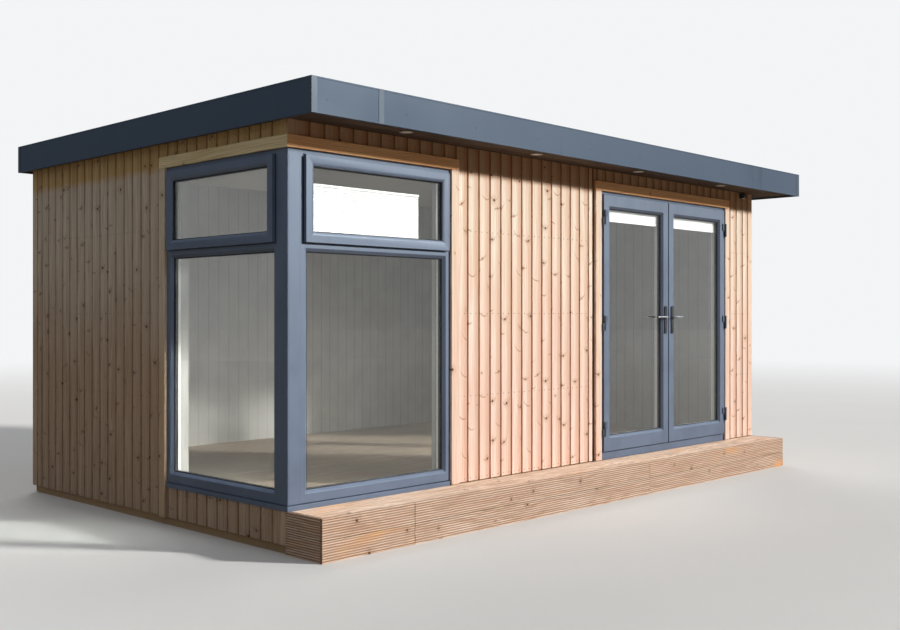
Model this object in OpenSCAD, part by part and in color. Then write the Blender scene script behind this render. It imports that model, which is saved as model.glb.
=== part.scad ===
// Garden office pod: a flat-roofed timber-clad room with a glazed corner, outward-opening
// double doors and a low deck step along its front.
// Origin: centre of the wall footprint at ground level. +Z up, front towards -Y. Millimetres.

/* [Building] */
// Length of the front wall over its cladding
pod_w = 5180; // [4400:20:6400]
// Depth of the building over its cladding
pod_d = 3100; // [2600:20:4200]
// Height of the floor and the deck step above the ground
floor_z = 240; // [180:10:320]
// Height of the door and window heads above the floor
head_h = 2000; // [1960:10:2100]
// Height of the soffit above the door and window heads
soffit_rise = 158; // [120:2:260]

/* [Floor] */
// Thickness of the floor boards
floor_t = 50; // [30:2:70]
// Width of one floor joist
joist_w = 45; // [38:1:75]
// Distance between the centres of two floor joists
joist_pitch = 480; // [300:10:500]

/* [Walls] */
// Thickness of the cladding boards
clad_t = 20; // [14:1:28]
// Thickness of the insulated wall panels
panel_t = 120; // [95:5:160]
// Thickness of the lining boards of the room
lining_t = 12; // [9:1:18]
// Height of the ground gap below the cladding on the closed sides
clad_gap = 50; // [20:5:120]
// Height of the gap between the deck and the front cladding
deck_clad_gap = 5; // [3:1:12]
// Width of a corner board
corner_w = 70; // [50:5:100]
// Width of the trim boards around the openings
trim_w = 70; // [45:5:90]
// Thickness of the trim boards around the openings
trim_t = 18; // [10:1:24]
// Thickness of the ceiling boards
ceiling_t = 12; // [9:1:18]

/* [Roof] */
// Overhang of the roof at the front
overhang_front = 300; // [200:10:500]
// Overhang of the roof at the right end
overhang_right = 300; // [150:10:500]
// Overhang of the roof at the left end
overhang_left = 75; // [60:5:200]
// Overhang of the roof at the back
overhang_back = 75; // [60:5:200]
// Thickness of the roof panel
roof_t = 120; // [90:5:140]
// Height of the roof's edge above the roof panel
edge_rise = 43; // [25:1:80]
// Thickness of the fascia
fascia_t = 20; // [12:1:30]
// Height by which the fascia hangs below the soffit
fascia_drop = 16; // [6:1:24]
// Width of the fascia's folded top lip
lip_w = 60; // [40:5:90]
// Thickness of the fascia's folded top lip
lip_t = 4; // [3:1:8]
// Thickness of the soffit boards
soffit_t = 15; // [9:1:22]
// Thickness of the roof membrane
membrane_t = 3; // [2:1:5]
// Width of the cover strips on the fascia's joints and corners
strip_w = 38; // [25:1:60]
// Thickness of the cover strips on the fascia
strip_t = 2; // [1:0.5:4]
// Distance of the front joint strip from the left wall face
joint_x = 400; // [200:10:900]

/* [Lights] */
// Number of downlights in the front soffit
light_count = 4; // [2:1:6]
// Distance of the first downlight from the left wall face
light_x = 757; // [300:1:1200]
// Distance of the last downlight from the right wall face
light_end = 802; // [300:1:1200]
// Radius of a downlight's bezel
light_r = 42; // [30:1:60]
// Thickness of a downlight's bezel
light_t = 5; // [3:1:10]
// Distance of the motion sensor from the right wall face
sensor_inset = 205; // [120:5:260]
// Side of the motion sensor's square body
sensor_size = 44; // [30:2:60]
// Gap between the motion sensor and the soffit
sensor_gap = 8; // [2:1:20]
// Depth of the motion sensor's body
sensor_d = 45; // [30:1:60]

/* [Windows] */
// Side of the square corner post
post_w = 85; // [75:1:120]
// Width of the front corner window
front_window_w = 1195; // [900:5:1300]
// Width of the side corner window
side_window_w = 1145; // [900:5:1400]
// Face width of the window frames' heads, feet and transoms
frame_w = 70; // [60:2:80]
// Face width of the window frames' stiles
frame_stile_w = 55; // [48:1:66]
// Depth of the window frames
frame_d = 70; // [60:2:80]
// Height of the window sill
sill_h = 33; // [20:1:50]
// Distance by which the window sill stands out
sill_out = 8; // [2:1:40]
// Height of the transom's lower edge above the floor
transom_h = 1434; // [1200:10:1500]
// Distance of the opening casement's top edge from the frame's top
casement_inset = 30; // [20:1:40]
// Distance of the opening casement's sides from the frame's sides
casement_side = 25; // [16:1:40]
// Face width of the opening casements
casement_w = 60; // [50:1:70]
// Distance by which the casements stand out of their frames
casement_out = 24; // [14:1:30]
// Overlap of the casement on the transom
transom_lap = 21; // [10:1:30]
// Running gap around the casement inside its frame
casement_gap = 3; // [2:1:5]
// Thickness of the sealed glass units
glass_t = 24; // [20:1:26]
// Distance of the fixed and casement glass behind the face of its frame
glass_inset = 20; // [10:1:26]

/* [Window blind] */
// Width of the blind behind the front casement
blind_w = 900; // [600:10:950]
// Distance of the blind from the left edge of the window
blind_x = 100; // [90:5:160]
// Distance of the blind's top rail below the heads
blind_drop = 171; // [90:1:300]
// Thickness of the blind's fabric with its pleats
blind_t = 16; // [8:1:22]
// Depth of the blind's bottom box
blind_box_d = 40; // [26:1:46]
// Height of the blind's bottom box
blind_box_h = 34; // [24:1:44]

/* [Doors] */
// Distance of the doorway from the right wall face
door_inset = 495; // [260:5:900]
// Width of the doorway
door_w = 1800; // [1700:10:1850]
// Face width of the door frame that shows beside the leaves
jamb_show = 20; // [16:1:30]
// Width of the door frame behind the leaves
jamb_w = 60; // [50:1:70]
// Depth of the door frame
door_frame_d = 93; // [80:1:105]
// Depth of the frame's stop behind the leaves
stop_d = 30; // [24:1:36]
// Distance by which the door leaves stand out of their frame
sash_out = 20; // [12:1:26]
// Height of the threshold
threshold_h = 57; // [40:1:70]
// Height of the stop on the threshold
threshold_stop = 18; // [12:1:24]
// Running gap around a door leaf
leaf_gap = 5; // [5:0.5:8]
// Gap between the two leaves
meeting_gap = 12; // [10:1:16]
// Width of a leaf's stiles
stile_w = 85; // [75:1:100]
// Height of a leaf's top rail
top_rail = 100; // [85:1:120]
// Height of a leaf's bottom rail
bottom_rail = 115; // [95:1:150]
// Distance of a leaf's glass behind the face of the leaf
leaf_glass_inset = 20; // [10:1:26]
// Height of the blind folded up on each leaf
leaf_blind_h = 92; // [60:2:400]
// Thickness of the blind on each leaf
leaf_blind_t = 14; // [8:1:16]
// Gap between the blind on each leaf and the glass
leaf_blind_gap = 3; // [1:1:6]

/* [Hinges] */
// Number of hinges on each leaf
hinge_count = 3; // [2:1:4]
// Height of one hinge
hinge_h = 110; // [90:2:130]
// Distance of the end hinges' centres from the leaf's ends
hinge_end = 170; // [150:5:300]
// Outer radius of the hinge knuckles
knuckle_r = 9; // [8:0.5:11]
// Radius of the hinge pin
pin_r = 4; // [3:0.5:5]
// Distance of the hinge axis in front of the leaf
hinge_off = 12; // [11.5:0.5:15]
// Running clearance of pins and spindles
pin_gap = 0.3; // [0.2:0.1:0.6]
// Width of the hinge flap on the leaf
flap_w = 34; // [24:1:50]

/* [Handles] */
// Height of the handles above the floor
handle_h = 1063; // [950:5:1100]
// Width of a handle plate
plate_w = 34; // [28:1:44]
// Height of a handle plate
plate_h = 220; // [160:5:250]
// Thickness of a handle plate
plate_t = 8; // [5:1:12]
// Length of a lever from its spindle
lever_l = 130; // [100:5:150]
// Radius of the lever
lever_r = 8; // [6:1:11]
// Distance of the lever's axis from its plate
lever_off = 42; // [32:1:48]
// Radius of the spindle
spindle_r = 4; // [3:0.5:5]
// Radius of the hole through the stile
spindle_hole_r = 7; // [6:0.5:9]

/* [Deck] */
// Number of deck boards side by side
deck_count = 2; // [2:1:5]
// Width of a deck board
board_w = 130; // [95:1:150]
// Thickness of a deck board
board_t = 28; // [21:1:36]
// Gap between two deck boards
board_gap = 5; // [4:1:8]
// Thickness of the riser boards
riser_t = 22; // [16:1:30]
// Number of riser boards above each other
riser_count = 2; // [2:1:3]
// Distance between two joists of the deck
deck_pitch = 440; // [300:10:500]

/* [Hidden] */
$fn = 32;

// Small length by which a cut runs past the face it opens
cut = 1;
// Share of a handle plate's height that lies below the spindle
plate_low = 0.6;
// Gap between a lever's neck and its plate
neck_gap = 2;
// Radius of the motion sensor's dome as a share of its body's side
dome_share = 0.4;

// Colours as they look in daylight
larch = [0.86, 0.66, 0.47];
larch_trim = [0.80, 0.56, 0.36];
anthracite = [0.24, 0.28, 0.33];
white = [0.93, 0.93, 0.91];
stud_timber = [0.78, 0.66, 0.48];
deck_brown = [0.66, 0.51, 0.42];
black = [0.08, 0.08, 0.09];
steel = [0.62, 0.63, 0.65];
glass = [0.62, 0.74, 0.72, 0.35];
planks = [0.80, 0.76, 0.70];

// Heights
head_z = floor_z + head_h;
soffit_z = head_z + soffit_rise;
roof_z = soffit_z + soffit_t;
roof_top = roof_z + roof_t;
ceiling_z = roof_z - ceiling_t;
fascia_z = soffit_z - fascia_drop;
fascia_top = roof_top + edge_rise;
fascia_h = fascia_top - fascia_z;
clad_front_z = floor_z + deck_clad_gap;
window_z = floor_z + sill_h;
transom_z = floor_z + transom_h;

// Depths into the wall from its cladding face
panel_in = clad_t + panel_t;
wall_t = panel_in + lining_t;

// Places along the walls, from the front left corner
window_end = post_w + front_window_w;
side_window_end = post_w + side_window_w;
door_end = pod_w - door_inset;
door_x = door_end - door_w;
door_mid = door_x + door_w / 2;

// Outer edges of the roof
roof_x0 = -overhang_left;
roof_x1 = pod_w + overhang_right;
roof_y0 = -overhang_front;
roof_y1 = pod_d + overhang_back;

// Door leaves
leaf_x = door_x + jamb_show + leaf_gap;
leaf_w = door_mid - meeting_gap / 2 - leaf_x;
leaf_z = floor_z + threshold_h + leaf_gap;
leaf_top = head_z - jamb_show - leaf_gap;
leaf_h = leaf_top - leaf_z;
leaf_back = door_frame_d - stop_d - leaf_gap;
leaf_glass_y = leaf_glass_inset - sash_out;
hinge_x = door_x + jamb_show + leaf_gap / 2;
hinge_y = -sash_out - hinge_off;
hinge_step = (leaf_h - 2 * hinge_end) / (hinge_count - 1);
half_hinge = hinge_h / 2;
spindle_x = leaf_x + leaf_w - stile_w / 2;
spindle_z = floor_z + handle_h;

// Deck
deck_step = board_w + board_gap;
deck_frame_h = floor_z - board_t;
riser_h = (floor_z - (riser_count - 1) * board_gap) / riser_count;
riser_y = -deck_count * deck_step - board_gap - riser_t;

// Shift from the front left corner of the walls to the origin
module place() {
    translate([-pod_w / 2, -pod_d / 2, 0]) children();
}

// A box between two corners
module span(low, high) {
    translate(low) cube(high - low);
}

// What the front window has, turned to the left wall
module on_side() {
    mirror([1, -1, 0]) children();
}

// What the left leaf has, turned to the right leaf
module on_right_leaf() {
    translate([2 * door_mid, 0, 0]) mirror([1, 0, 0]) children();
}

// Floor and base

module floor_frame() {
    low = clad_t;
    x1 = pod_w - clad_t;
    y1 = pod_d - clad_t;
    joist_h = floor_z - floor_t;
    inner_w = x1 - low - 2 * panel_t;
    half_bays = ceil(inner_w / 2 / joist_pitch);
    joists = 2 * half_bays - 1;
    step = inner_w / (joists + 1);
    color(stud_timber) place() {
        difference() {
            span([low, low, 0], [x1, y1, floor_z]);
            span([panel_in, panel_in, -cut], [pod_w - panel_in, pod_d - panel_in, floor_z + cut]);
        }
        for (i = [1:joists])
            translate([panel_in + i * step - joist_w / 2, panel_in, 0])
                cube([joist_w, pod_d - 2 * panel_in, joist_h]);
    }
}

module floor() {
    color(planks) place()
        span([panel_in, panel_in, floor_z - floor_t], [pod_w - panel_in, pod_d - panel_in, floor_z]);
}

// Wall panels

module front_wall_middle() {
    color(stud_timber) place()
        span([window_end, clad_t, floor_z], [door_x, panel_in, roof_z]);
}

module front_wall_right() {
    color(stud_timber) place()
        span([door_end, clad_t, floor_z], [pod_w - clad_t, panel_in, roof_z]);
}

module front_window_lintel() {
    color(stud_timber) place()
        span([clad_t, clad_t, head_z], [window_end, panel_in, roof_z]);
}

module door_lintel() {
    color(stud_timber) place()
        span([door_x, clad_t, head_z], [door_end, panel_in, roof_z]);
}

module left_wall() {
    color(stud_timber) place()
        span([clad_t, side_window_end, floor_z], [panel_in, pod_d - panel_in, roof_z]);
}

module side_window_lintel() {
    color(stud_timber) place()
        span([clad_t, panel_in, head_z], [panel_in, side_window_end, roof_z]);
}

module back_wall() {
    color(stud_timber) place()
        span([clad_t, pod_d - panel_in, floor_z], [pod_w - clad_t, pod_d - clad_t, roof_z]);
}

module right_wall() {
    color(stud_timber) place()
        span([pod_w - panel_in, panel_in, floor_z], [pod_w - clad_t, pod_d - panel_in, roof_z]);
}

// Linings of the room, with the boards that close the sides of the openings

module wall_lining() {
    color(white) place() {
        difference() {
            span([panel_in, panel_in, floor_z], [pod_w - panel_in, pod_d - panel_in, ceiling_z]);
            span([wall_t, wall_t, floor_z - cut], [pod_w - wall_t, pod_d - wall_t, ceiling_z + cut]);
            span([0, 0, floor_z - cut], [window_end, wall_t + cut, head_z]);
            span([0, 0, floor_z - cut], [wall_t + cut, side_window_end, head_z]);
            span([door_x, 0, floor_z - cut], [door_end, wall_t + cut, head_z]);
        }
        span([window_end - lining_t, frame_d, floor_z], [window_end, wall_t, head_z]);
        span([frame_d, side_window_end - lining_t, floor_z], [wall_t, side_window_end, head_z]);
        span([post_w, frame_d, head_z - lining_t], [window_end, wall_t, head_z]);
        span([frame_d, post_w, head_z - lining_t], [wall_t, side_window_end, head_z]);
        span([post_w, frame_d, floor_z], [window_end, panel_in, floor_z + lining_t]);
        span([frame_d, post_w, floor_z], [panel_in, side_window_end, floor_z + lining_t]);
        span([door_x, door_frame_d, floor_z], [door_x + lining_t, wall_t, head_z]);
        span([door_end - lining_t, door_frame_d, floor_z], [door_end, wall_t, head_z]);
        span([door_x, door_frame_d, head_z - lining_t], [door_end, wall_t, head_z]);
    }
}

module ceiling() {
    color(white) place()
        span([panel_in, panel_in, ceiling_z], [pod_w - panel_in, pod_d - panel_in, roof_z]);
}

// Cladding

module cladding_front() {
    color(larch) place() difference() {
        span([corner_w, 0, clad_front_z], [pod_w - corner_w, clad_t, soffit_z]);
        span([-cut, -cut, 0], [window_end, clad_t + cut, head_z]);
        span([door_x, -cut, 0], [door_end, clad_t + cut, head_z]);
    }
}

module cladding_sides() {
    color(larch) place() {
        difference() {
            span([0, corner_w, clad_gap], [clad_t, pod_d - corner_w, soffit_z]);
            span([-cut, 0, floor_z], [clad_t + cut, side_window_end, head_z]);
        }
        span([pod_w - clad_t, corner_w, clad_gap], [pod_w, pod_d - corner_w, soffit_z]);
    }
}

module cladding_back() {
    color(larch) place()
        span([corner_w, pod_d - clad_t, clad_gap], [pod_w - corner_w, pod_d, soffit_z]);
}

// Two boards that meet at a corner, standing in the positive quadrant
module corner_pair(z0, z1) {
    span([0, 0, z0], [corner_w, clad_t, z1]);
    span([0, 0, z0], [clad_t, corner_w, z1]);
}

module corner_boards() {
    color(larch_trim) place() {
        corner_pair(head_z, soffit_z);
        span([0, clad_t, clad_gap], [clad_t, corner_w, floor_z]);
        span([pod_w - clad_t, clad_t, clad_gap], [pod_w, corner_w, clad_front_z]);
        translate([pod_w, 0, 0]) mirror([1, 0, 0]) corner_pair(clad_front_z, soffit_z);
        translate([0, pod_d, 0]) mirror([0, 1, 0]) corner_pair(clad_gap, soffit_z);
        translate([pod_w, pod_d, 0]) rotate(180) corner_pair(clad_gap, soffit_z);
    }
}

// Flat boards on the cladding along the heads and outer sides of the openings
module opening_trim() {
    color(larch_trim) place() {
        span([-trim_t, -trim_t, head_z], [window_end + trim_w, 0, head_z + trim_w]);
        span([-trim_t, -trim_t, head_z], [0, side_window_end + trim_w, head_z + trim_w]);
        span([window_end, -trim_t, clad_front_z], [window_end + trim_w, 0, head_z + trim_w]);
        span([-trim_t, side_window_end, clad_gap], [0, side_window_end + trim_w, head_z + trim_w]);
        span([door_x - trim_w, -trim_t, clad_front_z], [door_x, 0, head_z + trim_w]);
        span([door_end, -trim_t, clad_front_z], [door_end + trim_w, 0, head_z + trim_w]);
        span([door_x - trim_w, -trim_t, head_z], [door_end + trim_w, 0, head_z + trim_w]);
    }
}

// Roof

module roof_panel() {
    color(stud_timber) place()
        span([roof_x0 + fascia_t, roof_y0 + fascia_t, roof_z],
            [roof_x1 - fascia_t, roof_y1 - fascia_t, roof_top]);
}

module roof_membrane() {
    x0 = roof_x0 + fascia_t;
    y0 = roof_y0 + fascia_t;
    x1 = roof_x1 - fascia_t;
    y1 = roof_y1 - fascia_t;
    color(black) place() difference() {
        span([x0, y0, roof_top], [x1, y1, fascia_top - lip_t]);
        span([x0 + membrane_t, y0 + membrane_t, roof_top + membrane_t],
            [x1 - membrane_t, y1 - membrane_t, fascia_top]);
    }
}

module fascia_front() {
    color(anthracite) place() {
        span([roof_x0, roof_y0, fascia_z], [roof_x1, roof_y0 + fascia_t, fascia_top]);
        span([roof_x0, roof_y0, fascia_top - lip_t], [roof_x1, roof_y0 + lip_w, fascia_top]);
    }
}

module fascia_back() {
    color(anthracite) place() {
        span([roof_x0, roof_y1 - fascia_t, fascia_z], [roof_x1, roof_y1, fascia_top]);
        span([roof_x0, roof_y1 - lip_w, fascia_top - lip_t], [roof_x1, roof_y1, fascia_top]);
    }
}

module fascia_sides() {
    y0 = roof_y0 + fascia_t;
    y1 = roof_y1 - fascia_t;
    lip_y0 = roof_y0 + lip_w;
    lip_y1 = roof_y1 - lip_w;
    lip_z = fascia_top - lip_t;
    color(anthracite) place() {
        span([roof_x0, y0, fascia_z], [roof_x0 + fascia_t, y1, lip_z]);
        span([roof_x0, lip_y0, fascia_z], [roof_x0 + fascia_t, lip_y1, fascia_top]);
        span([roof_x0, lip_y0, lip_z], [roof_x0 + lip_w, lip_y1, fascia_top]);
        span([roof_x1 - fascia_t, y0, fascia_z], [roof_x1, y1, lip_z]);
        span([roof_x1 - fascia_t, lip_y0, fascia_z], [roof_x1, lip_y1, fascia_top]);
        span([roof_x1 - lip_w, lip_y0, lip_z], [roof_x1, lip_y1, fascia_top]);
    }
}

// Cover strips on the fascia: one pair around each corner and one on each joint
module fascia_strips() {
    mid_y = (roof_y0 + roof_y1) / 2;
    back_x = pod_w - joint_x;
    color(anthracite) place() {
        for (x = [roof_x0, roof_x1], y = [roof_y0, roof_y1])
            translate([x, y, fascia_z])
                mirror([x == roof_x1 ? 1 : 0, 0, 0])
                    mirror([0, y == roof_y1 ? 1 : 0, 0]) {
                        translate([-strip_t, -strip_t, 0]) cube([strip_w + strip_t, strip_t, fascia_h]);
                        translate([-strip_t, -strip_t, 0]) cube([strip_t, strip_w + strip_t, fascia_h]);
                    }
        span([joint_x, roof_y0 - strip_t, fascia_z], [joint_x + strip_w, roof_y0, fascia_top]);
        span([back_x - strip_w, roof_y1, fascia_z], [back_x, roof_y1 + strip_t, fascia_top]);
        span([roof_x1, mid_y, fascia_z], [roof_x1 + strip_t, mid_y + strip_w, fascia_top]);
    }
}

// Boards under the overhang, all round the walls
module soffit() {
    color(deck_brown) place() difference() {
        span([roof_x0 + fascia_t, roof_y0 + fascia_t, soffit_z],
            [roof_x1 - fascia_t, roof_y1 - fascia_t, roof_z]);
        span([clad_t, clad_t, soffit_z - cut], [pod_w - clad_t, pod_d - clad_t, roof_z + cut]);
    }
}

// Round bezels under the front soffit, halfway between the wall and the fascia
module downlights() {
    pitch = (pod_w - light_x - light_end) / (light_count - 1);
    color(steel) place()
        for (i = [0:light_count - 1])
            translate([light_x + i * pitch, roof_y0 / 2, soffit_z - light_t])
                cylinder(r = light_r, h = light_t);
}

module motion_sensor() {
    x = pod_w - sensor_inset;
    dome_r = sensor_size * dome_share;
    color(black) place()
        translate([x, 0, soffit_z - sensor_size - sensor_gap]) {
            translate([-sensor_size / 2, -sensor_d, 0]) cube([sensor_size, sensor_d, sensor_size]);
            translate([0, -sensor_d + dome_r, -dome_r / 2]) cylinder(r = dome_r, h = dome_r);
        }
}

// Windows

module corner_post() {
    color(anthracite) place()
        span([0, 0, window_z], [post_w, post_w, head_z]);
}

module window_sill() {
    color(anthracite) place() {
        span([-sill_out, -sill_out, floor_z], [window_end, frame_d, window_z]);
        span([-sill_out, -sill_out, floor_z], [frame_d, side_window_end, window_z]);
    }
}

// Outer frame with its transom, standing on the sill, from x = 0 to w
module window_frame(w) {
    light_x0 = frame_stile_w;
    light_x1 = w - frame_stile_w;
    difference() {
        span([0, 0, window_z], [w, frame_d, head_z]);
        span([light_x0, -cut, window_z + frame_w], [light_x1, frame_d + cut, transom_z]);
        span([light_x0, -cut, transom_z + frame_w], [light_x1, frame_d + cut, head_z - frame_w]);
    }
}

// Opening casement: a flange that laps over the frame and a ring that fits inside it
module casement(w) {
    x0 = casement_side;
    x1 = w - casement_side;
    z0 = transom_z + frame_w - transom_lap;
    z1 = head_z - casement_inset;
    ring_x0 = frame_stile_w + casement_gap;
    ring_x1 = w - frame_stile_w - casement_gap;
    ring_z0 = transom_z + frame_w + casement_gap;
    ring_z1 = head_z - frame_w - casement_gap;
    difference() {
        union() {
            span([x0, -casement_out, z0], [x1, 0, z1]);
            span([ring_x0, -cut, ring_z0], [ring_x1, frame_d - casement_out, ring_z1]);
        }
        casement_light(w, -casement_out - cut, frame_d);
    }
}

// Daylight opening of a casement between two depths
module casement_light(w, y0, y1) {
    span([casement_side + casement_w, y0, transom_z + frame_w - transom_lap + casement_w],
        [w - casement_side - casement_w, y1, head_z - casement_inset - casement_w]);
}

// The two sealed units of one window
module window_panes(w) {
    casement_light(w, glass_inset - casement_out, glass_inset - casement_out + glass_t);
    span([frame_stile_w, glass_inset, window_z + frame_w],
        [w - frame_stile_w, glass_inset + glass_t, transom_z]);
}

module window_frames() {
    color(anthracite) place() {
        translate([post_w, 0, 0]) window_frame(front_window_w);
        on_side() translate([post_w, 0, 0]) window_frame(side_window_w);
    }
}

module casements() {
    color(anthracite) place() {
        translate([post_w, 0, 0]) casement(front_window_w);
        on_side() translate([post_w, 0, 0]) casement(side_window_w);
    }
}

module window_glass() {
    color(glass) place() {
        translate([post_w, 0, 0]) window_panes(front_window_w);
        on_side() translate([post_w, 0, 0]) window_panes(side_window_w);
    }
}

// Pleated blind that rises from a box on the back of the transom
module window_blind() {
    x0 = post_w + blind_x;
    box_z = transom_z + (frame_w - blind_box_h) / 2;
    color(white) place() {
        span([x0, frame_d, box_z], [x0 + blind_w, frame_d + blind_box_d, box_z + blind_box_h]);
        translate([x0, frame_d + (blind_box_d - blind_t) / 2, box_z])
            cube([blind_w, blind_t, head_z - blind_drop - box_z]);
    }
}

// Doors

// Frame with a stop behind the leaves on all four sides
module door_frame() {
    stop_y = door_frame_d - stop_d;
    step_z = floor_z + threshold_h;
    color(anthracite) place() difference() {
        span([door_x, 0, floor_z], [door_end, door_frame_d, head_z]);
        span([door_x + jamb_show, -cut, step_z], [door_end - jamb_show, stop_y, head_z - jamb_show]);
        span([door_x + jamb_w, -cut, step_z + leaf_gap + threshold_stop],
            [door_end - jamb_w, door_frame_d + cut, head_z - jamb_w]);
    }
}

// Height of hinge number i, at the parting of its two knuckles
function hinge_z(i) = leaf_z + hinge_end + i * hinge_step;

// Fixed halves on the left jamb: lower knuckle with its pin, and the arm from the frame
module fixed_hinges() {
    for (i = [0:hinge_count - 1])
        translate([0, 0, hinge_z(i)]) {
            translate([hinge_x, hinge_y, -half_hinge]) {
                cylinder(r = knuckle_r, h = half_hinge - pin_gap);
                cylinder(r = pin_r, h = hinge_h - pin_r);
            }
            span([door_x + leaf_gap / 2, hinge_y, -half_hinge], [hinge_x - leaf_gap, 0, -pin_gap]);
        }
}

// Moving halves on the left leaf: upper knuckle around the pin, and the flap on the leaf
module leaf_hinges() {
    for (i = [0:hinge_count - 1])
        translate([0, 0, hinge_z(i)]) difference() {
            union() {
                translate([hinge_x, hinge_y, 0]) cylinder(r = knuckle_r, h = half_hinge);
                span([hinge_x, hinge_y, 0], [leaf_x + flap_w, -sash_out, half_hinge]);
            }
            translate([hinge_x, hinge_y, -cut]) cylinder(r = pin_r + pin_gap, h = hinge_h);
        }
}

module frame_hinges() {
    color(anthracite) place() {
        fixed_hinges();
        on_right_leaf() fixed_hinges();
    }
}

// Hole for the spindle, through whatever lies between two depths
module spindle_bore(r, y0, y1) {
    translate([spindle_x, y0, spindle_z]) rotate([-90, 0, 0]) cylinder(r = r, h = y1 - y0);
}

// Daylight opening of the left leaf between two depths
module leaf_light(y0, y1) {
    span([leaf_x + stile_w, y0, leaf_z + bottom_rail], [leaf_x + leaf_w - stile_w, y1, leaf_top - top_rail]);
}

module leaf_shape() {
    difference() {
        span([leaf_x, -sash_out, leaf_z], [leaf_x + leaf_w, leaf_back, leaf_top]);
        leaf_light(-sash_out - cut, leaf_back + cut);
        spindle_bore(spindle_hole_r, -sash_out - cut, leaf_back + cut);
    }
}

module leaf_pane() {
    leaf_light(leaf_glass_y, leaf_glass_y + glass_t);
}

// Blind folded up at the top of the glass, on the room side
module leaf_blind() {
    blind_z = leaf_top - top_rail - leaf_blind_h;
    translate([leaf_x + stile_w, leaf_glass_y + glass_t + leaf_blind_gap, blind_z])
        cube([leaf_w - 2 * stile_w, leaf_blind_t, leaf_blind_h]);
}

// A handle plate standing on a face at y, growing to y + depth
module handle_plate(y, depth) {
    translate([spindle_x - plate_w / 2, min(y, y + depth), spindle_z - plate_h * plate_low])
        cube([plate_w, abs(depth), plate_h]);
}

module leaf_fittings() {
    leaf_hinges();
    difference() {
        union() {
            handle_plate(-sash_out, -plate_t);
            handle_plate(leaf_back, plate_t);
        }
        spindle_bore(spindle_r + pin_gap, -sash_out - plate_t - cut, leaf_back + plate_t + cut);
    }
}

// Both levers of one leaf on their common spindle, pointing to the hinges
module lever_pair() {
    front_y = -sash_out - plate_t - lever_off;
    back_y = leaf_back + plate_t + lever_off;
    spindle_bore(spindle_r, front_y, back_y);
    spindle_bore(lever_r, front_y - lever_r, -sash_out - plate_t - neck_gap);
    spindle_bore(lever_r, leaf_back + plate_t + neck_gap, back_y + lever_r);
    for (y = [front_y, back_y])
        translate([spindle_x - lever_l, y, spindle_z]) rotate([0, 90, 0]) cylinder(r = lever_r, h = lever_l);
}

module left_leaf() {
    color(anthracite) place() leaf_shape();
}

module right_leaf() {
    color(anthracite) place() on_right_leaf() leaf_shape();
}

module left_leaf_glass() {
    color(glass) place() leaf_pane();
}

module right_leaf_glass() {
    color(glass) place() on_right_leaf() leaf_pane();
}

module left_leaf_blind() {
    color(white) place() leaf_blind();
}

module right_leaf_blind() {
    color(white) place() on_right_leaf() leaf_blind();
}

module left_leaf_fittings() {
    color(steel) place() leaf_fittings();
}

module right_leaf_fittings() {
    color(steel) place() on_right_leaf() leaf_fittings();
}

module left_lever() {
    color(steel) place() lever_pair();
}

module right_lever() {
    color(steel) place() on_right_leaf() lever_pair();
}

// Deck step

module deck_boards() {
    color(deck_brown) place()
        for (i = [0:deck_count - 1])
            translate([riser_t, -(i + 1) * deck_step, deck_frame_h])
                cube([pod_w - 2 * riser_t, board_w, board_t]);
}

// Front boards and the boards that close the two ends
module deck_riser() {
    color(deck_brown) place()
        for (i = [0:riser_count - 1])
            translate([0, 0, i * (riser_h + board_gap)]) {
                translate([0, riser_y, 0]) cube([pod_w, riser_t, riser_h]);
                for (x = [0, pod_w - riser_t])
                    translate([x, riser_y, 0]) cube([riser_t, clad_t - riser_y, riser_h]);
            }
}

module deck_frame() {
    front = riser_y + riser_t;
    run = pod_w - 2 * riser_t - joist_w;
    joists = ceil(run / deck_pitch);
    color(stud_timber) place() {
        span([riser_t, front, 0], [pod_w - riser_t, front + joist_w, deck_frame_h]);
        span([riser_t, clad_t - joist_w, 0], [pod_w - riser_t, clad_t, deck_frame_h]);
        for (i = [0:joists])
            translate([riser_t + i * run / joists, front, 0])
                cube([joist_w, clad_t - front, deck_frame_h]);
    }
}

floor_frame();
floor();
front_wall_middle();
front_wall_right();
front_window_lintel();
door_lintel();
left_wall();
side_window_lintel();
back_wall();
right_wall();
wall_lining();
ceiling();
cladding_front();
cladding_sides();
cladding_back();
corner_boards();
opening_trim();
roof_panel();
roof_membrane();
fascia_front();
fascia_sides();
fascia_back();
fascia_strips();
soffit();
downlights();
motion_sensor();
corner_post();
window_sill();
window_frames();
casements();
window_glass();
window_blind();
door_frame();
frame_hinges();
left_leaf();
left_leaf_glass();
left_leaf_blind();
left_leaf_fittings();
left_lever();
right_leaf();
right_leaf_glass();
right_leaf_blind();
right_leaf_fittings();
right_lever();
deck_boards();
deck_riser();
deck_frame();
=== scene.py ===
"""Garden office pod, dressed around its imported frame.

Lengths are metres. Each wall part is modelled in wall coordinates: x along the wall from its left
end as seen from outside, y into the wall from the cladding face, z above the ground. It is then
placed on its wall. The front wall's coordinates also serve the roof and the deck.
"""

import functools
import logging
import math
import random
from collections.abc import Callable, Iterator
from contextlib import contextmanager
from dataclasses import dataclass
from enum import Enum
from typing import Any

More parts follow.
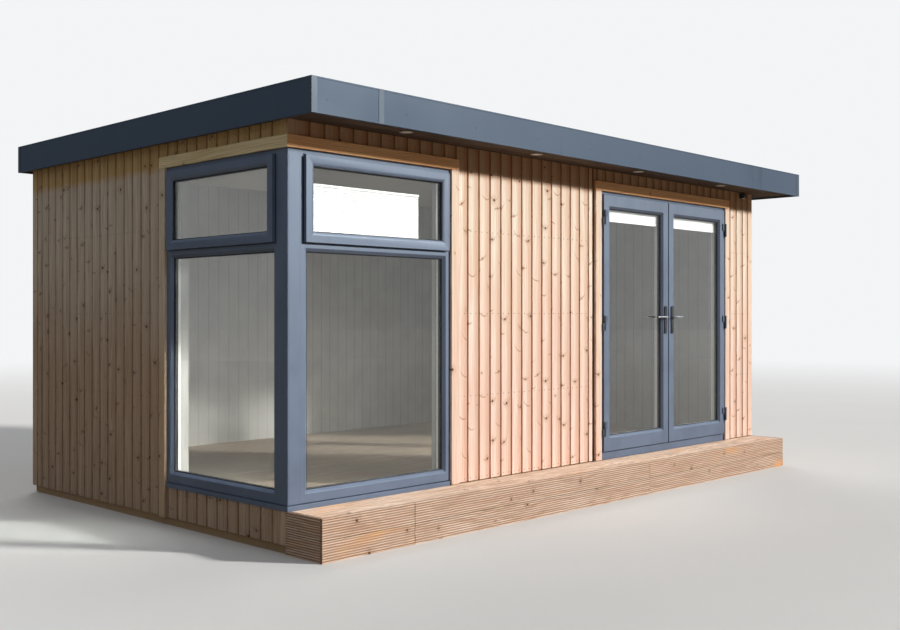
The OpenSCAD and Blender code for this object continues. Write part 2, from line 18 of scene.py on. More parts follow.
import bmesh
import bpy
import numpy as np
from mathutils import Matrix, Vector


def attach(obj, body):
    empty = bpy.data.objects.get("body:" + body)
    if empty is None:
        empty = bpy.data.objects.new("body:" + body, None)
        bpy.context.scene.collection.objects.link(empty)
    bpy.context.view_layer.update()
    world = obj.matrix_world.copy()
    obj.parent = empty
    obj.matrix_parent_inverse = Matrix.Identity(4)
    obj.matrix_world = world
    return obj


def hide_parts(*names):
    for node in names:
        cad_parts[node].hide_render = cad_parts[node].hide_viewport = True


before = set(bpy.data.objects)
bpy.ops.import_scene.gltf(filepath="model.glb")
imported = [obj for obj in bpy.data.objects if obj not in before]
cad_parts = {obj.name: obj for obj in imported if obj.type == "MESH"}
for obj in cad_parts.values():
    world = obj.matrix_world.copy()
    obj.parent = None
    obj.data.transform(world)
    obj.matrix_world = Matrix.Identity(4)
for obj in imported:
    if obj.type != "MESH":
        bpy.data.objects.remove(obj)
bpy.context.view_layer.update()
LOG = logging.getLogger("garden_office")

Point = tuple[float, float, float]
Colour = tuple[float, float, float]
ItemTest = Callable[[Any], bool]

POD_WIDTH = 5.180
POD_DEPTH = 3.100
FLOOR = 0.240
HEAD = 2.240
SOFFIT = 2.398
ROOF = 2.413
ROOF_TOP = 2.533
FASCIA_FOOT = 2.382
FASCIA_TOP = 2.576
DECK_CLAD_FOOT = 0.245
CLAD_FOOT = 0.050
SEAM = 0.0005
CORNER_BOARD = 0.070
FRONT_WINDOW_END = 1.280
SIDE_WINDOW_START = 1.870
CORNER_GAP = 0.014

X, Y, Z = range(3)
TO = {
    "-x": Vector((-1, 0, 0)), "+x": Vector((1, 0, 0)),
    "-y": Vector((0, -1, 0)), "+y": Vector((0, 1, 0)),
    "-z": Vector((0, 0, -1)), "+z": Vector((0, 0, 1)),
}


# Modelling

@dataclass(frozen=True)
class Rect:
    """An upright rectangle in wall coordinates."""

    x0: float
    x1: float
    z0: float
    z1: float

    def grown(self, by: float) -> "Rect":
        """The rectangle grown on all sides."""
        return Rect(self.x0 - by, self.x1 + by, self.z0 - by, self.z1 + by)

    def holds(self, place: Vector) -> bool:
        """Whether a point lies inside, seen from the front."""
        return self.x0 < place.x < self.x1 and self.z0 < place.z < self.z1


def facing(side: str, *tests: ItemTest) -> ItemTest:
    """Test for faces that look to one side and pass further tests on their centre.

    Args:
        side: A key of TO.
        tests: Tests of the face's centre.
    Returns:
        The face test.
    """
    def test(face: bmesh.types.BMFace) -> bool:
        centre = face.calc_center_median()
        return face.normal.dot(TO[side]) > 0.99 and all(check(centre) for check in tests)
    return test


def reaches(edge: bmesh.types.BMEdge, axis: int, least: float) -> bool:
    """Whether an edge runs further than a length along an axis."""
    return abs((edge.verts[0].co - edge.verts[1].co)[axis]) > least


class Piece:
    """One mesh on the bench, shaped with Blender's edit tools."""

    smooth_angle = math.radians(35.0)
    first_inset = 0.001

    def __init__(self, obj: bpy.types.Object) -> None:
        """Takes the object to shape."""
        self.obj = obj

    def activate(self) -> None:
        """Selects this piece alone and makes it active."""
        bpy.ops.object.select_all(action="DESELECT")
        self.obj.select_set(True)
        bpy.context.view_layer.objects.active = self.obj

    def settle(self) -> "Piece":
        """Puts the object's place, turn and scale into its mesh."""
        self.activate()
        bpy.ops.object.transform_apply(location=True, rotation=True, scale=True)
        return self

    @classmethod
    def primitive(cls, kind: str, stretch: Point | None = None, **settings: Any) -> "Piece":
        """Adds one of Blender's primitives at its size and place.

        Args:
            kind: cube, cylinder, circle, grid or uv_sphere.
            stretch: Its scale, for a primitive that takes none.
            settings: The operator's settings.
        Returns:
            The piece, settled.
        """
        bpy.ops.object.select_all(action="DESELECT")
        getattr(bpy.ops.mesh, f"primitive_{kind}_add")(**settings)
        piece = cls(bpy.context.object)
        if stretch:
            piece.obj.scale = stretch
        return piece.settle()

    @classmethod
    def block(cls, low: Point, high: Point) -> "Piece":
        """A cube stretched between two corners."""
        centre = [(a + b) / 2 for a, b in zip(low, high)]
        return cls.primitive("cube", size=1.0, location=centre, scale=[b - a for a, b in zip(low, high)])

    @classmethod
    def slab(cls, rect: Rect, front: float, back: float) -> "Piece":
        """A cube that fills a rectangle between two depths."""
        return cls.block((rect.x0, front, rect.z0), (rect.x1, back, rect.z1))

    @classmethod
    def rod(cls, start: Point, end: Point, radius: float, sides: int = 24) -> "Piece":
        """A round bar between the centres of its two ends."""
        run = Vector(end) - Vector(start)
        return cls.primitive("cylinder", vertices=sides, radius=radius, depth=run.length,
                             location=(Vector(start) + Vector(end)) / 2,
                             rotation=run.to_track_quat("Z", "Y").to_euler())

    @contextmanager
    def picked(self, kind: str = "faces", test: ItemTest = lambda item: True) -> Iterator[None]:
        """Opens edit mode with only the items that pass the test selected.

        Args:
            kind: verts, edges or faces.
            test: The test of one item.
        """
        self.activate()
        bpy.ops.object.mode_set(mode="EDIT")
        bpy.ops.mesh.select_mode(type={"verts": "VERT", "edges": "EDGE", "faces": "FACE"}[kind])
        bpy.ops.mesh.select_all(action="DESELECT")
        mesh = bmesh.from_edit_mesh(self.obj.data)
        for item in getattr(mesh, kind):
            if test(item):
                item.select_set(True)
        mesh.select_flush_mode()
        bmesh.update_edit_mesh(self.obj.data)
        yield
        bpy.ops.object.mode_set(mode="OBJECT")

    def selected_span(self) -> tuple[Vector, Vector]:
        """Lowest and highest corner of the selected points, in edit mode."""
        mesh = bmesh.from_edit_mesh(self.obj.data)
        places = np.array([vert.co[:] for vert in mesh.verts if vert.select])
        return Vector(places.min(axis=0)), Vector(places.max(axis=0))

    def panel(self, side: str, rect: Rect, bead: float = 0.0, sink: float = 0.0) -> "Piece":
        """Insets an upright face to a rectangle, with a sloped bead around the inside.

        Args:
            side: The side that the face looks to.
            rect: The rectangle inside the bead.
            bead: The bead's width.
            sink: The depth that the bead falls.
        Returns:
            The piece.
        """
        outer = rect.grown(bead)
        with self.picked("faces", facing(side, rect.holds)):
            bpy.ops.mesh.inset(thickness=self.first_inset)
            low, high = self.selected_span()
            centre = (low + high) / 2
            stretch = ((outer.x1 - outer.x0) / (high.x - low.x), 1.0,
                       (outer.z1 - outer.z0) / (high.z - low.z))
            bpy.ops.transform.resize(value=stretch, center_override=centre)
            bpy.ops.transform.translate(
                value=((outer.x0 + outer.x1) / 2 - centre.x, 0.0, (outer.z0 + outer.z1) / 2 - centre.z))
            if bead:
                bpy.ops.mesh.inset(thickness=bead, depth=-sink)
        return self

    def tunnel(self, rect: Rect) -> "Piece":
        """Joins the front and back faces that fill a rectangle into a hole."""
        inside = rect.grown(0.0015)
        with self.picked("faces", lambda face: abs(face.normal.y) > 0.99
                         and all(inside.holds(vert.co) for vert in face.verts)):
            bpy.ops.mesh.bridge_edge_loops()
        return self

    def inset(self, side: str, *steps: tuple[float, float]) -> "Piece":
        """Insets the faces that look to a side, step by step, each by a thickness and a depth."""
        with self.picked("faces", facing(side)):
            for thickness, depth in steps:
                bpy.ops.mesh.inset(thickness=thickness, depth=depth)
        return self

    def push(self, side: str, distance: float, *tests: ItemTest) -> "Piece":
        """Extrudes the faces that look to a side and pass the tests, outwards or, below zero, inwards."""
        with self.picked("faces", facing(side, *tests)):
            bpy.ops.mesh.extrude_region_move(TRANSFORM_OT_translate={"value": TO[side] * distance})
        return self

    def sunk(self, side: str, rim: float, depth: float) -> "Piece":
        """Sinks the faces that look to a side and leaves a rim around them."""
        with self.picked("faces", facing(side)):
            bpy.ops.mesh.inset(thickness=rim)
            bpy.ops.mesh.extrude_region_move(TRANSFORM_OT_translate={"value": TO[side] * -depth})
        return self

    def rounded(self, radius: float, segments: int, test: ItemTest) -> "Piece":
        """Rounds the edges that pass the test."""
        with self.picked("edges", test):
            bpy.ops.mesh.bevel(offset=radius, segments=segments, affect="EDGES")
        return self

    def nudge(self, test: ItemTest, shift: Point) -> "Piece":
        """Moves the points that pass the test."""
        with self.picked("verts", test):
            bpy.ops.transform.translate(value=shift)
        return self

    def score(self, axis: int, *places: float) -> "Piece":
        """Cuts edges across an axis at some places and keeps both sides."""
        for place in places:
            with self.picked():
                bpy.ops.mesh.bisect(plane_co=[place * (number == axis) for number in range(3)],
                                    plane_no=[float(number == axis) for number in range(3)])
        return self

    def trim(self, place: Point, normal: Point) -> "Piece":
        """Cuts off all that lies past a plane, on its normal's side, and closes the cut."""
        with self.picked():
            bpy.ops.mesh.bisect(plane_co=place, plane_no=normal, use_fill=True, clear_outer=True)
        return self

    def ripped(self, x0: float, x1: float) -> "Piece":
        """Cuts off all that lies outside two places on x."""
        return self.trim((x0, 0.0, 0.0), (-1.0, 0.0, 0.0)).trim((x1, 0.0, 0.0), (1.0, 0.0, 0.0))

    def moved(self, *shift: float) -> "Piece":
        """Moves the whole mesh."""
        self.obj.location = shift
        return self.settle()

    def copied(self) -> "Piece":
        """A copy with its own mesh."""
        self.activate()
        bpy.ops.object.duplicate()
        return Piece(bpy.context.object)

    def mirrored(self, axis: int, plane: float) -> "Piece":
        """A copy mirrored about a place on an axis, its faces turned outwards again."""
        piece = self.copied()
        piece.obj.scale[axis] = -1.0
        piece.obj.location[axis] = 2 * plane
        return piece.settle().turned_out()

    def turned_out(self) -> "Piece":
        """Turns all faces outwards."""
        with self.picked():
            bpy.ops.mesh.normals_make_consistent(inside=False)
        return self

    def joined(self, *others: "Piece") -> "Piece":
        """Joins other pieces into this one."""
        if others:
            self.activate()
            for other in others:
                other.obj.select_set(True)
            bpy.ops.object.join()
        return self

    def modified(self, kind: str, **settings: Any) -> "Piece":
        """Adds one modifier with its settings and applies it."""
        modifier = self.obj.modifiers.new("step", kind)
        for key, value in settings.items():
            setattr(modifier, key, value)
        self.activate()
        bpy.ops.object.modifier_apply(modifier=modifier.name)
        return self

    def repeated(self, count: int, *shift: float) -> "Piece":
        """Repeats the mesh in a row."""
        if count > 1:
            self.modified("ARRAY", count=count, use_relative_offset=False,
                          use_constant_offset=True, constant_offset_displace=shift)
        return self

    def softened(self, width: float, segments: int = 2, angle: float = 40.0) -> "Piece":
        """Rounds every edge sharper than an angle."""
        return self.modified("BEVEL", width=width, segments=segments, limit_method="ANGLE",
                             angle_limit=math.radians(angle))

    def drilled(self, start: Point, end: Point, radius: float) -> "Piece":
        """Bores a round hole between two points."""
        tool = Piece.rod(start, end, radius)
        self.modified("BOOLEAN", operation="DIFFERENCE", object=tool.obj, solver="EXACT")
        bpy.data.objects.remove(tool.obj)
        return self

    def split(self, depth: float) -> tuple["Piece", "Piece"]:
        """The part in front of a depth and the part behind it, both closed."""
        inner = self.copied().trim((0.0, depth, 0.0), (0.0, -1.0, 0.0))
        return self.trim((0.0, depth, 0.0), (0.0, 1.0, 0.0)), inner

    def grained(self, across: int, along: int, cell: int, start: float, pitch: float, seed: int,
                high_face: bool = False) -> "Piece":
        """Writes where each point lies in its board's timber, and the board's random tone.

        Args:
            across: Axis across the boards' faces.
            along: Axis along the grain.
            cell: Axis on which the boards are told apart.
            start: Where the first board starts on that axis.
            pitch: Distance from one board to the next.
            seed: Seed of the boards' tones.
            high_face: Whether the boards' faces lie at the high end of the third axis.
        Returns:
            The piece.
        """
        mesh = self.obj.data
        places = np.array([vert.co[:] for vert in mesh.vertices])
        board = np.clip(np.floor((places[:, cell] - start) / pitch + 1e-6).astype(int), 0, None)
        source = random.Random(seed)
        tones = np.array([source.random() for _ in range(board.max() + 1)])[board]
        centre = (places[:, across].min() + places[:, across].max()) / 2
        if cell == across:
            centre = start + (board + 0.5) * pitch
        third = places[:, 3 - across - along]
        depth = third.max() - third if high_face else third - third.min()
        grain = np.stack([places[:, across] - centre, places[:, along], depth], axis=1)
        for name, kind, key, values in (("grain", "FLOAT_VECTOR", "vector", grain),
                                        ("tone", "FLOAT", "value", tones)):
            mesh.attributes.new(name, kind, "POINT").data.foreach_set(key, values.astype(np.float32).ravel())
        return self

    def finished(self, name: str, finish: "Finish", *nodes: str, body: str = "building",
                 slot: str = "") -> "Piece":
        """Names, shades, dresses and hangs the piece on its body.

        Args:
            name: The piece's name.
            finish: The finish.
            nodes: CAD nodes that it replaces.
            body: The body that it rides on.
            slot: Not used.
        Returns:
            The piece.
        """
        self.activate()
        bpy.ops.object.shade_smooth_by_angle(angle=self.smooth_angle)
        self.modified("WEIGHTED_NORMAL", keep_sharp=True)
        self.obj.name = self.obj.data.name = name
        self.obj.data.materials.clear()
        self.obj.data.materials.append(material_of(finish))
        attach(self.obj, body)
        if nodes:
            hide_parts(*nodes)
        LOG.info("%s: %d faces on %s", name, len(self.obj.data.polygons), body)
        return self


def united(pieces: list[Piece]) -> Piece:
    """All pieces of a list as one."""
    return pieces[0].joined(*pieces[1:])


class Wall(Enum):
    """The four walls: turn in degrees, distance from the centre, length."""

    FRONT = (0.0, POD_DEPTH / 2, POD_WIDTH)
    LEFT = (-90.0, POD_WIDTH / 2, POD_DEPTH)
    RIGHT = (90.0, POD_WIDTH / 2, POD_DEPTH)
    BACK = (180.0, POD_DEPTH / 2, POD_WIDTH)

    @property
    def length(self) -> float:
        """The wall's length."""
        return self.value[2]

    def place(self, piece: Piece) -> Piece:
        """Takes a piece from wall coordinates to its wall."""
        turn, distance, length = self.value
        piece.moved(-length / 2, -distance, 0.0)
        piece.obj.rotation_euler = (0.0, 0.0, math.radians(turn))
        return piece.settle()


def moulded_ring(outer: Rect, front: float, back: float, light: Rect, bead: float, sink: float) -> Piece:
    """A mitred ring around an opening.

    Args:
        outer: The outside of the ring.
        front: Depth of the front face.
        back: Depth of the back face.
        light: The opening.
        bead: Width of the sloped bead around the opening.
        sink: Depth that the bead falls.
    Returns:
        The ring.
    """
    return Piece.slab(outer, front, back).panel("-y", light, bead, sink).panel("+y", light).tunnel(light)


# Finishes

class Tree:
    """The nodes of one material or world, added and linked by plain calls."""

    def __init__(self, owner: bpy.types.Material | bpy.types.World) -> None:
        """Empties the owner's nodes."""
        owner.use_nodes = True
        self.owner = owner
        self.nodes = owner.node_tree.nodes
        self.nodes.clear()

    def add(self, kind: str, inputs: dict[Any, Any], **settings: Any) -> bpy.types.bpy_prop_collection:
        """Adds a node.

        Args:
            kind: The node's type without its ShaderNode prefix.
            inputs: Values or sockets by input name or number.
            settings: The node's own properties.
        Returns:
            The node's outputs.
        """
        node = self.nodes.new("ShaderNode" + kind)
        for key, value in settings.items():
            setattr(node, key, value)
        for key, value in inputs.items():
            socket = node.inputs[key]
            if isinstance(value, bpy.types.NodeSocket):
                self.owner.node_tree.links.new(value, socket)
            elif socket.type == "RGBA" and len(value) == 3:
                socket.default_value = (*value, 1.0)
            else:
                socket.default_value = value
        return node.outputs

    def math(self, operation: str, *values: Any) -> bpy.types.NodeSocket:
        """A number from numbers."""
        return self.add("Math", dict(enumerate(values)), operation=operation)[0]

    def mul(self, first: Any, second: Any) -> bpy.types.NodeSocket:
        """A product."""
        return self.math("MULTIPLY", first, second)

    def mad(self, first: Any, second: Any, third: Any) -> bpy.types.NodeSocket:
        """A product and a third number added."""
        return self.math("MULTIPLY_ADD", first, second, third)

    def mix(self, factor: Any, first: Any, second: Any, blend: str = "MIX") -> bpy.types.NodeSocket:
        """A colour between two colours."""
        return self.add("Mix", {0: factor, 6: first, 7: second}, data_type="RGBA", blend_type=blend)[2]

    def vector(self, operation: str, *values: Any) -> bpy.types.bpy_prop_collection:
        """The outputs of a vector sum, product, difference or length."""
        return self.add("VectorMath", dict(enumerate(values)), operation=operation)

    def times(self, vector: Any, *factors: float) -> bpy.types.NodeSocket:
        """A vector stretched by three factors."""
        return self.vector("MULTIPLY", vector, factors)[0]

    def point(self, x: Any, y: Any) -> bpy.types.NodeSocket:
        """A vector from its x and y."""
        return self.add("CombineXYZ", {0: x, 1: y})[0]

    def axes(self, vector: Any) -> bpy.types.bpy_prop_collection:
        """A vector's x, y and z."""
        return self.add("SeparateXYZ", {0: vector})

    def noise(self, vector: Any, scale: float, detail: float = 2.0) -> bpy.types.NodeSocket:
        """Noise from 0 to 1."""
        return self.add("TexNoise", {"Vector": vector, "Scale": scale, "Detail": detail})[0]

    def span(self, value: Any, low: float, high: float, to_low: float = 0.0,
             to_high: float = 1.0) -> bpy.types.NodeSocket:
        """A smooth step from one range to another."""
        return self.add("MapRange", {0: value, 1: low, 2: high, 3: to_low, 4: to_high},
                        interpolation_type="SMOOTHSTEP")[0]

    def place(self, kind: str = "Object") -> bpy.types.NodeSocket:
        """Object coordinates, or others by name."""
        return self.add("TexCoord", {})[kind]

    def shader(self, **inputs: Any) -> bpy.types.NodeSocket:
        """A principled shader from inputs named with _ for a space."""
        return self.add("BsdfPrincipled", {key.replace("_", " "): value for key, value in inputs.items()})[0]

    def either(self, factor: Any, first: Any, second: Any) -> bpy.types.NodeSocket:
        """A shader between two shaders."""
        return self.add("MixShader", {0: factor, 1: first, 2: second})[0]

    def closed(self, surface: Any) -> Any:
        """Links the surface to the output and gives back the material or world."""
        self.add("OutputWorld" if isinstance(self.owner, bpy.types.World) else "OutputMaterial",
                 {"Surface": surface})
        return self.owner

    def surface(self, height: Any, depth: float, **inputs: Any) -> bpy.types.Material:
        """Closes the material with one principled shader in relief.

        Args:
            height: The relief, from 0 to 1.
            depth: How deep the relief is.
            inputs: The shader's inputs, with _ for a space.
        Returns:
            The material.
        """
        bump = self.add("Bump", {"Height": height, "Distance": depth, "Strength": 1.0})[0]
        return self.closed(self.shader(**inputs, Normal=bump))


@dataclass(frozen=True)
class Finish:
    """A finish that can be made into a material, and the name of its material slot."""

    name: str
    slot: str

    def dress(self, tree: Tree) -> bpy.types.Material:
        """The finish's material, from its empty tree."""
        raise NotImplementedError


@functools.cache
def material_of(finish: Finish) -> bpy.types.Material:
    """The one material of a finish."""
    return finish.dress(Tree(bpy.data.materials.new(finish.name)))


@dataclass(frozen=True)
class Timber(Finish):
    """Sawn softwood with rings, fibres and knots along each board."""

    pale: Colour
    warm: Colour
    dark: Colour
    knots: float = 0.6
    arcs: float = 0.0
    # edge, edge_shade_colour: painted shade, each board darker and warmer towards its right edge
    edge: float = 0.0
    edge_shade_colour: Colour = (0.66, 0.37, 0.21)
    # groove: painted shade in the grooves, darker with depth, partly grime on the deck
    groove: float = 0.0
    # foot_tint, foot_tint_colour: a cloudy tint that grows towards the foot, darker on the side walls
    foot_tint: float = 0.0
    foot_tint_colour: Colour = (0.99, 0.89, 0.91)
    # eaves, eaves_colour: painted shade, darker above the heads of the openings where the roof's shadow falls
    eaves: float = 0.0
    eaves_colour: Colour = (0.62, 0.45, 0.32)
    stains: float = 0.0
    stain_colour: Colour = (0.80, 0.40, 0.14)
    knot_colour: Colour = (0.12, 0.05, 0.02)
    cell: Point = (0.13, 0.26, 0.0)
    contrast: float = 1.0
    roughness: float = 0.72
    from_place: bool = False

    def marks(self, tree: Tree, spot: Any) -> tuple[Any, Any, Any]:
        """Knots, one at most in each cell of the grain, and the arcs of grain beside them.

        Args:
            tree: The material's nodes.
            spot: Place in the timber.
        Returns:
            Core of the knots, their halo, and the arcs, each from 0 to 1.
        """
        cells = tree.times(spot, 1 / self.cell[0], 1 / self.cell[1], 0.0)
        knot = tree.add("TexVoronoi", {"Vector": cells, "Scale": 1.0, "Randomness": 0.9},
                        voronoi_dimensions="2D")
        off = tree.times(tree.vector("SUBTRACT", cells, knot["Position"])[0], *self.cell)
        chance = tree.add("SeparateColor", {0: knot["Color"]})
        ratio = tree.math("DIVIDE", tree.vector("LENGTH", off)["Value"], tree.mad(chance[0], 0.007, 0.0035))
        there = tree.math("LESS_THAN", chance[1], self.knots)
        core = tree.mul(there, tree.span(ratio, 1.2, 0.5))
        halo = tree.mul(there, tree.span(ratio, 5.0, 0.9))
        sides = tree.axes(off)
        bowl = tree.math("SUBTRACT", sides[1],
                         tree.mul(tree.math("POWER", sides[0], 2.0), tree.mad(chance[0], 22.0, 3.0)))
        bowl = tree.mad(sides[0], tree.mad(chance[1], 1.2, -0.6), bowl)
        ragged = tree.mad(tree.noise(spot, 130.0), 0.016, -0.003)
        arc = tree.mul(tree.span(tree.math("ABSOLUTE", tree.math("ADD", bowl, ragged)), 0.0080, 0.0010),
                       tree.span(tree.math("ABSOLUTE", sides[0]), 0.052, 0.018))
        return core, halo, tree.mul(arc, tree.math("LESS_THAN", chance[2], self.arcs))

    def shaded_and_stained(self, tree: Tree, body: Any, place: Any, spot: Any, grain: Any) -> Any:
        """Painted shade on the boards' edges and in the grooves, a tint towards the foot, painted shade under
        the roof, and stains.

        Args:
            tree: The material's nodes.
            body: The plain colour.
            place: Object coordinates.
            spot: Place in the timber.
            grain: Place on the board.
        Returns:
            The colour with its painted shade, tint and stains.
        """
        across, _, deep = tree.axes(grain)
        # Painted shade: darker and warmer towards each board's right edge.
        if self.edge:
            body = tree.mix(tree.mul(tree.span(across, -0.004, 0.052), self.edge), body, self.edge_shade_colour)
        # Painted shade in the grooves, darker with depth, partly grime on the deck.
        if self.groove:
            groove_shade_and_grime = tree.span(deep, 0.45 * self.groove, 0.95 * self.groove, 0.0, 0.75)
            body = tree.mix(groove_shade_and_grime, body, self.dark)
        high = tree.axes(place)[2]
        # Tinted towards the foot, in clouds.
        if self.foot_tint:
            cloud = tree.mad(tree.noise(place, 1.6), 1.2, high)
            foot_share = tree.mul(tree.span(cloud, 2.7, 1.2), self.foot_tint)
            body = tree.mix(foot_share, body, self.foot_tint_colour, "MULTIPLY")
        # Painted shade below the soffit, where the roof's shadow falls.
        if self.eaves:
            rise = tree.mad(tree.noise(spot, 9.0), 0.06, high)
            shade = tree.span(rise, 2.225, 2.300, 0.0, self.eaves)
            body = tree.mix(shade, body, self.eaves_colour, "MULTIPLY")
        if self.stains:
            patch = tree.noise(tree.times(spot, 2.5, 0.9, 0.0), 1.0, 3.0)
            body = tree.mix(tree.span(patch, 0.58, 0.72, 0.0, self.stains), body, self.stain_colour)
        return body

    def dress(self, tree: Tree) -> bpy.types.Material:
        """The timber's material, from its empty tree."""
        place = tree.place()
        if self.from_place:
            parts = tree.axes(place)
            wide = tree.math("ADD", parts[0], parts[1])
            grain, tone = tree.point(wide, parts[2]), tree.math("FRACT", tree.mul(wide, 3.1))
        else:
            grain = tree.add("Attribute", {}, attribute_name="grain")["Vector"]
            tone = tree.add("Attribute", {}, attribute_name="tone")["Fac"]
        spot = tree.vector("ADD", grain, tree.point(tree.mul(tone, 13.7), tree.mul(tone, 71.3)))[0]
        core, halo, arc = self.marks(tree, spot)

        wander = tree.noise(tree.times(spot, 7.0, 1.3, 0.0), 1.0)
        bend = tree.mad(halo, 0.012, tree.mul(wander, 0.09))
        parts = tree.axes(spot)
        bent = tree.point(tree.math("ADD", parts[0], bend), parts[1])
        rings = tree.add("TexWave", {"Vector": tree.times(bent, 1.0, 0.02, 0.0), "Scale": 30.0,
                                     "Distortion": 4.0, "Detail": 2.0, "Detail Scale": 1.2},
                         bands_direction="X")["Fac"]
        streaks = tree.noise(tree.times(bent, 1.0, 0.03, 0.0), 60.0, 3.0)
        fibres = tree.noise(tree.times(bent, 1.0, 0.012, 0.0), 700.0, 2.0)
        lines = tree.span(tree.mad(streaks, 0.9, rings), 0.95, 1.45)
        body = tree.mix(tree.span(streaks, 0.36, 0.66), self.pale, self.warm)
        body = tree.mix(tree.mul(lines, 0.42 * self.contrast), body, self.dark)
        body = tree.mix(tree.mul(tone, 0.5), body, self.warm)
        body = tree.mix(tree.span(fibres, 0.35, 0.80, 0.0, 0.22), body, self.dark)
        body = self.shaded_and_stained(tree, body, place, spot, grain)
        for mark, share, colour in ((halo, 0.30, self.dark), (arc, 0.75, self.dark),
                                    (core, 1.0, self.knot_colour)):
            body = tree.mix(tree.mul(mark, share), body, colour)
        relief = tree.math("SUBTRACT", tree.mad(fibres, 0.5, lines), core)
        rough = tree.span(streaks, 0.3, 0.7, self.roughness - 0.08, self.roughness + 0.12)
        return tree.surface(relief, 0.0006, Base_Color=body, Roughness=rough, Specular_IOR_Level=0.2)


@dataclass(frozen=True)
class Coating(Finish):
    """A painted, coated, moulded or metal surface with faint clouds, runs and dust, strong runs standing as
    painted reflection, and glow as painted light.
    """

    base: Colour
    cloud: Colour
    roughness: float = 0.45
    metallic: float = 0.0
    specular: float = 0.5
    scale: float = 6.0
    runs: float = 0.15
    texture: float = 900.0
    depth: float = 0.00012
    stretch: Point = (1.0, 1.0, 1.0)
    # glow: painted light, the base colour given off faintly as light
    glow: float = 0.0
    groove_pitch: float = 0.0
    tint: Colour = (1.0, 1.0, 1.0)

    def dress(self, tree: Tree) -> bpy.types.Material:
        """The coating's material, from its empty tree."""
        place = tree.place()
        clouds = tree.noise(place, self.scale, 3.0)
        # Upright runs: faint on most coatings, strong enough on the fascia to be painted reflection.
        runs = tree.noise(tree.times(place, 1.0, 1.0, 0.08), 24.0, 3.0)
        body = tree.mix(tree.span(tree.mad(runs, self.runs, clouds), 0.35, 0.80), self.base, self.cloud)
        if self.groove_pitch:
            parts = tree.axes(place)
            along = tree.math("ADD", parts[0], parts[1])
            turn = tree.math("FRACT", tree.math("DIVIDE", along, self.groove_pitch))
            line = tree.span(tree.math("ABSOLUTE", tree.math("SUBTRACT", turn, 0.5)), 0.02, 0.04, 0.45, 0.0)
            body = tree.mix(line, body, tuple(channel * 0.3 for channel in self.base))
        fine = tree.noise(tree.times(place, *self.stretch), self.texture, 2.0)
        rough = tree.span(tree.math("ADD", clouds, fine), 0.6, 1.4,
                          max(self.roughness - 0.07, 0.02), self.roughness + 0.09)
        # Emission_Strength is the glow: painted light.
        return tree.surface(fine, self.depth, Base_Color=body, Roughness=rough, Metallic=self.metallic,
                            Specular_IOR_Level=self.specular, Specular_Tint=self.tint,
                            Emission_Color=self.base, Emission_Strength=self.glow)


@dataclass(frozen=True)
class Weave(Finish):
    """A plain woven blind fabric."""

    base: Colour
    thread: float = 0.0009

    def dress(self, tree: Tree) -> bpy.types.Material:
        """The fabric's material, from its empty tree."""
        place = tree.place()
        warp, weft = (tree.add("TexWave", {"Vector": place, "Scale": 0.05 / self.thread},
                               bands_direction=direction)["Fac"] for direction in "XZ")
        threads = tree.mul(warp, weft)
        cloud = tree.noise(place, 9.0, 2.0)
        body = tree.mix(tree.mad(threads, 0.4, tree.mul(cloud, 0.5)),
                        tuple(channel * 0.86 for channel in self.base), self.base)
        rough = tree.span(cloud, 0.2, 0.8, 0.75, 0.90)
        return tree.surface(threads, 0.0002, Base_Color=body, Roughness=rough, Sheen_Weight=0.15,
                            Specular_IOR_Level=0.2)


@dataclass(frozen=True)
class Pane(Finish):
    """Clear glass that lets the lamps through."""

    tint: Colour
    shade: Colour

    def dress(self, tree: Tree) -> bpy.types.Material:
        """The glass's material, from its empty tree."""
        glass = tree.shader(Base_Color=self.tint, Roughness=0.0, IOR=1.45, Transmission_Weight=1.0)
        clear = tree.add("BsdfTransparent", {"Color": self.shade})[0]
        return tree.closed(tree.either(tree.add("LightPath", {})["Is Shadow Ray"], glass, clear))


LARCH = Timber("larch_cladding", "larch_cladding", (0.98, 0.94, 0.83), (0.95, 0.76, 0.62), (0.50, 0.27, 0.15),
               edge=0.75, edge_shade_colour=(0.74, 0.47, 0.32), groove=0.009, foot_tint=1.0, knots=0.65, arcs=0.8,
               eaves=1.0)
# LARCH_SHADE: painted shade, a darker and greyer copy of the larch for the side and back walls
LARCH_SHADE = Timber("larch_cladding_shaded", "larch_cladding", (0.80, 0.74, 0.66), (0.64, 0.54, 0.44),
                     (0.30, 0.22, 0.17), edge=0.4, edge_shade_colour=(0.50, 0.40, 0.32), foot_tint=0.9,
                     foot_tint_colour=(0.80, 0.65, 0.54), knots=0.7, arcs=0.6, eaves=1.0,
                     eaves_colour=(0.90, 0.72, 0.42))
LARCH_TRIM = Timber("larch_trim", "larch_trim", (0.96, 0.84, 0.70), (0.90, 0.70, 0.56), (0.52, 0.28, 0.16),
                    foot_tint=0.8, arcs=0.4, eaves=0.8)
# LARCH_TRIM_SHADE: painted shade, a darker and greyer copy of the trim larch for the left and back walls
LARCH_TRIM_SHADE = Timber("larch_trim_shaded", "larch_trim", (0.86, 0.78, 0.68), (0.70, 0.60, 0.48),
                          (0.34, 0.24, 0.18), foot_tint=0.8, foot_tint_colour=(0.82, 0.66, 0.52), arcs=0.4,
                          eaves=1.0, eaves_colour=(0.90, 0.72, 0.42))
# HEAD_TRIM: the head boards' own orange, raised to full brightness as painted light where the roof shades
# them
HEAD_TRIM = Timber("larch_head_trim", "larch_trim", (1.0, 0.60, 0.31), (0.97, 0.52, 0.25), (0.50, 0.24, 0.11),
                   knots=0.4)
